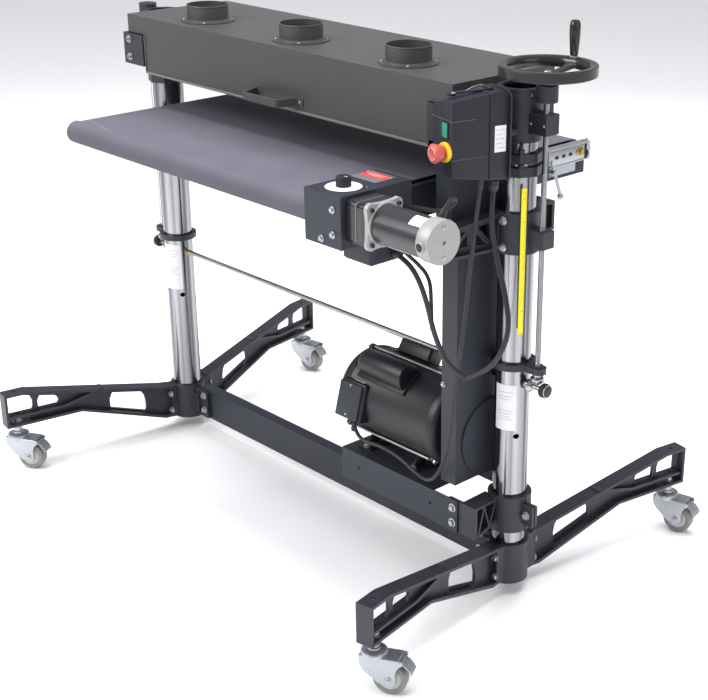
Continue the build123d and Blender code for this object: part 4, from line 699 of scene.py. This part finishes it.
# ------------------------------------------------------------ casters
YP = Matrix(((1, 0, 0, 0), (0, 0, -1, 0), (0, 1, 0, 0), (0, 0, 0, 1)))    # local (a, b, c) -> world (a, -c, b)
def arc(cx_, cz_, r, a0, a1, n=8):
    return [(cx_ + r * math.cos(math.radians(a0 + (a1 - a0) * k / n)), cz_ + r * math.sin(math.radians(a0 + (a1 - a0) * k / n))) for k in range(n + 1)]
cheek = [(60, 90), (-26, 90), (-28.5, 84), (-28.5, 76), (-25, 66), (-18, 56), (-6, 46), (8, 35), (18, 28)] + arc(36, 37, 15, 215, 350, 9) + [(51.5, 46), (51, 54), (53, 64), (58, 74), (66, 80), (68, 84), (66, 90)]
for a, sx, sy in (("front_left", -1, -1), ("back_left", -1, 1), ("front_right", 1, -1), ("back_right", 1, 1)):
    X, Y = sx * 721.6, sy * 501.0
    TURN = (X, Y, 30 if sy < 0 else 12)
    bm = bmesh.new(); m = axmat((X + 36, Y, 38), (0, 1, 0))
    add_lathe(bm, [(25, -11), (26.5, -14), (33, -15), (36.6, -12.5), (37.9, -7), (38, 0), (37.9, 7), (36.6, 12.5), (33, 15), (26.5, 14), (25, 11), (24, 9), (24, -9), (25, -11)], 64, m)
    fixn(bm); o = obj("wheel_tyre_" + a, bm, "wheel", "wheel_" + a, 40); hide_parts("caster_wheel_" + a)
    bm = bmesh.new()
    add_lathe(bm, [(5.2, -17), (10, -17), (11, -16), (11.5, -12.5), (22, -11.5), (25.6, -13.4), (25.6, 13.4), (22, 11.5), (11.5, 12.5), (11, 16), (10, 17), (5.2, 17), (5.2, -17)], 48, m)
    fixn(bm); obj("wheel_hub_" + a, bm, "hubw", "wheel_" + a, 40)
    bm = bmesh.new()
    add_prism(bm, cheek, Matrix.Translation((X, Y + 22.4, 0)) @ YP, 3.2, .9)
    add_prism(bm, cheek, Matrix.Translation((X, Y - 19.2, 0)) @ YP, 3.2, .9)
    add_rbox(bm, 88, 44.6, 4.4, Matrix.Translation((X + 15, Y, 89)), 1.8, 3)
    add_lathe(bm, [(0, 84), (27, 84), (29, 85.6), (29.4, 89), (29.2, 95), (27.6, 98.4), (23, 100.6), (15, 101.6), (14.5, 106), (11.5, 107), (11, 123.5), (6.6, 123.8), (6, 124), (6, 145), (5, 146), (0, 146)], 56, Matrix.Translation((X, Y, 0)))
    hexhead(bm, (X, Y, 131.1), (0, 0, 1), 9.6, 8, True); hexhead(bm, (X, Y, 107), (0, 0, 1), 10.5, 9, False)
    for s in (-1, 1):
        add_lathe(bm, [(0, 0), (9, 0), (9.6, .8), (9, 2), (6.4, 2.6), (5.8, 4.6), (4, 5.4), (0, 5.6)], 28, axmat((X + 36, Y + s * 22.2, 38), (0, s, 0)))
    add_lathe(bm, [(0, -22), (5, -22), (5, 22), (0, 22)], 20, m)
    fixn(bm); o = obj("caster_yoke_" + a, bm, "zinc", "caster_" + a, 35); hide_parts("caster_fork_" + a)
    # brake pedal: pressed plate with ribs, over its pivot pin
    bm = bmesh.new()
    prof = [(47, 78), (49, 82), (55, 84.4), (64, 82.6), (74, 76), (82, 67), (87, 57.5)]
    top = [Vector((x, 0, z)) for x, z in prof]; th = 2.6; up_ = []; lo_ = []
    for i, p in enumerate(top):
        d = (top[min(i + 1, len(top) - 1)] - top[max(i - 1, 0)]).normalized(); nn = Vector((d.z, 0, -d.x))
        up_.append((p.x, p.z)); lo_.append((p.x + nn.x * th, p.z + nn.z * th))
    add_prism(bm, up_ + lo_[::-1], Matrix.Translation((X, Y + 17.6, 0)) @ YP, 35.2, .8)
    for i in range(7):
        t = .42 + .085 * i; k = t * (len(prof) - 1); j = min(int(k), len(prof) - 2); f_ = k - j
        px_ = prof[j][0] + (prof[j + 1][0] - prof[j][0]) * f_; pz_ = prof[j][1] + (prof[j + 1][1] - prof[j][1]) * f_
        add_lathe(bm, [(0, -15), (1.3, -15), (1.3, 15), (0, 15)], 10, axmat((X + px_, Y, pz_ + .3), (0, 1, 0)))
    add_lathe(bm, [(0, -18), (3, -18), (3, 18), (0, 18)], 20, axmat((X + 51, Y, 78), (0, 1, 0)))
    fixn(bm); o = obj("brake_tread_" + a, bm, "zinc", "pedal_" + a, 35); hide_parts("brake_pedal_" + a)

TURN = None
# ------------------------------------------------------------ handwheel: round-edged rim, dished spokes, hub nut
bm = bmesh.new()
m = Matrix.Translation((708, 0, 1235))
add_lathe(bm, [(82, -9), (84, -11), (100.4, -11), (102, -9.6), (102, 9.6), (100.4, 11.2), (98, 11.6), (88, 11.2), (84, 9), (82, 5), (80.6, 0), (81, -6), (82, -9)], 128, m)
for k in range(3):
    a = math.radians(96 + 120 * k)
    R3 = m @ Matrix.Rotation(a, 4, "Z")
    add_prism(bm, [(12, -12), (48, -9), (84, -13), (84, 13), (48, 9), (12, 12)], R3 @ Matrix.Translation((0, 0, -19)) @ Matrix.Rotation(math.radians(-7), 4, "Y"), 8, 2.4)
add_lathe(bm, [(6.6, -31), (17.5, -31), (19, -29.5), (19, -14), (17.5, -11), (12, -9.5), (6.6, -9.2)], 48, m)
ga = math.radians(96); gx, gy = 708 + 91 * math.cos(ga), 91 * math.sin(ga)
bmesh.ops.recalc_face_normals(bm, faces=bm.faces); o = obj("handwheel_casting", bm, "iron", "right_screw", 35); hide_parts("handwheel")
bm = bmesh.new()
add_lathe(bm, [(0, 1247), (4, 1247), (4, 1318), (0, 1318)], 20, Matrix.Translation((gx, gy, 0)))
add_lathe(bm, [(4, 1245.5), (9, 1245.5), (9, 1247.6), (7.4, 1248.4), (7.4, 1249.6), (4, 1249.6)], 28, Matrix.Translation((gx, gy, 0)))
hexhead(bm, (708, 0, 1225.6), (0, 0, 1), 8, 5, True)
add_lathe(bm, [(0, 1206), (6.4, 1206), (6.4, 1226), (0, 1226)], 24, Matrix.Translation((708, 0, 0)))
fixn(bm); obj("handwheel_hardware", bm, "zinc", "right_screw")
bm = bmesh.new()
add_lathe(bm, [(4.2, 1250), (7.6, 1250), (8.6, 1251.6), (9.4, 1262), (10.8, 1280), (11.5, 1298), (11.4, 1310), (10.2, 1318), (7.6, 1321.4), (4.5, 1322), (0, 1322)], 40, Matrix.Translation((gx, gy, 0)))
bmesh.ops.recalc_face_normals(bm, faces=bm.faces); o = obj("grip_handle", bm, "iron", "grip", 50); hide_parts("handwheel_grip")
# black end caps on the cross shaft
bm = bmesh.new()
for s in (-1, 1): add_lathe(bm, [(0, 725), (15.6, 725), (16.4, 726), (16.4, 737), (14.6, 739.6), (9, 741.4), (0, 741.4)], 40, axmat((0, 0, 534), (s, 0, 0)))
fixn(bm); obj("shaft_end_caps", bm, "plastic", "lift_shaft")

# ------------------------------------------------------------ stage, light, camera
def area(name, loc, tgt, size, power, col=(1, 1, 1)):
    li = bpy.data.lights.new(name, "AREA"); li.shape = "RECTANGLE"; li.size = size[0]; li.size_y = size[1]; li.energy = power; li.color = col
    o = bpy.data.objects.new(name, li); bpy.context.scene.collection.objects.link(o)
    o.location = loc; o.rotation_euler = (Vector(tgt) - Vector(loc)).to_track_quat("-Z", "Y").to_euler()
area("key", (-1.2, -3.4, 3.4), (0, 0, .7), (3.0, 2.6), 165)
area("fill", (4.4, .2, 2.4), (0, 0, .6), (2.4, 3.0), 22)
area("top", (0, .4, 4.2), (0, 0, .8), (3.8, 2.8), 290)
area("rim", (-2.6, 3.2, 2.6), (0, 0, .7), (2.4, 2.0), 40)
for n_ in ("top", "rim"): bpy.data.objects[n_].visible_glossy = False
w = bpy.data.worlds.new("w"); bpy.context.scene.world = w; w.use_nodes = True
wn = w.node_tree.nodes; wl = w.node_tree.links; bg = wn["Background"]
lp = wn.new("ShaderNodeLightPath"); mxw = wn.new("ShaderNodeMix"); mxw.data_type = "RGBA"
mxw.inputs[6].default_value = (.93, .94, .96, 1); mxw.inputs[7].default_value = (.42, .42, .43, 1)
wl.new(lp.outputs["Is Glossy Ray"], mxw.inputs[0]); wl.new(mxw.outputs[2], bg.inputs[0]); bg.inputs[1].default_value = .85
bm = bmesh.new()
bmesh.ops.create_grid(bm, x_segments=8, y_segments=8, size=9000.)
me = bpy.data.meshes.new("floor"); bmesh.ops.scale(bm, vec=(.001,) * 3, verts=bm.verts); bm.to_mesh(me); bm.free()
fl = bpy.data.objects.new("floor_plane", me); bpy.context.scene.collection.objects.link(fl)
me.materials.append(mat("floor", (.86, .86, .87), .6, 0, 0, .02, 40, .01, 0))

cam = bpy.data.cameras.new("cam"); co = bpy.data.objects.new("cam", cam); bpy.context.scene.collection.objects.link(co)
cam.sensor_fit = "HORIZONTAL"; cam.sensor_width = 36; cam.lens = 1444.33 / 708 * 36
cam.shift_x = -(444.77 - 354) / 708; cam.shift_y = (354.25 - 350) / 708
cam.clip_start = .05; cam.clip_end = 60
yaw, pitch, roll = math.radians(44.94), math.radians(-22.49), math.radians(.51)
fwd = Vector((-math.sin(yaw) * math.cos(pitch), math.cos(yaw) * math.cos(pitch), math.sin(pitch)))
rt = Vector((math.cos(yaw), math.sin(yaw), 0)); up = rt.cross(fwd)
r2 = math.cos(roll) * rt + math.sin(roll) * up; u2 = -math.sin(roll) * rt + math.cos(roll) * up
mw = Matrix((r2, u2, -fwd)).transposed().to_4x4(); mw.translation = Vector((2.6177 + OX / 1000, -2.2011, 1.8153))
co.matrix_world = mw
bpy.context.scene.camera = co
bpy.context.scene.view_settings.view_transform = "Standard"
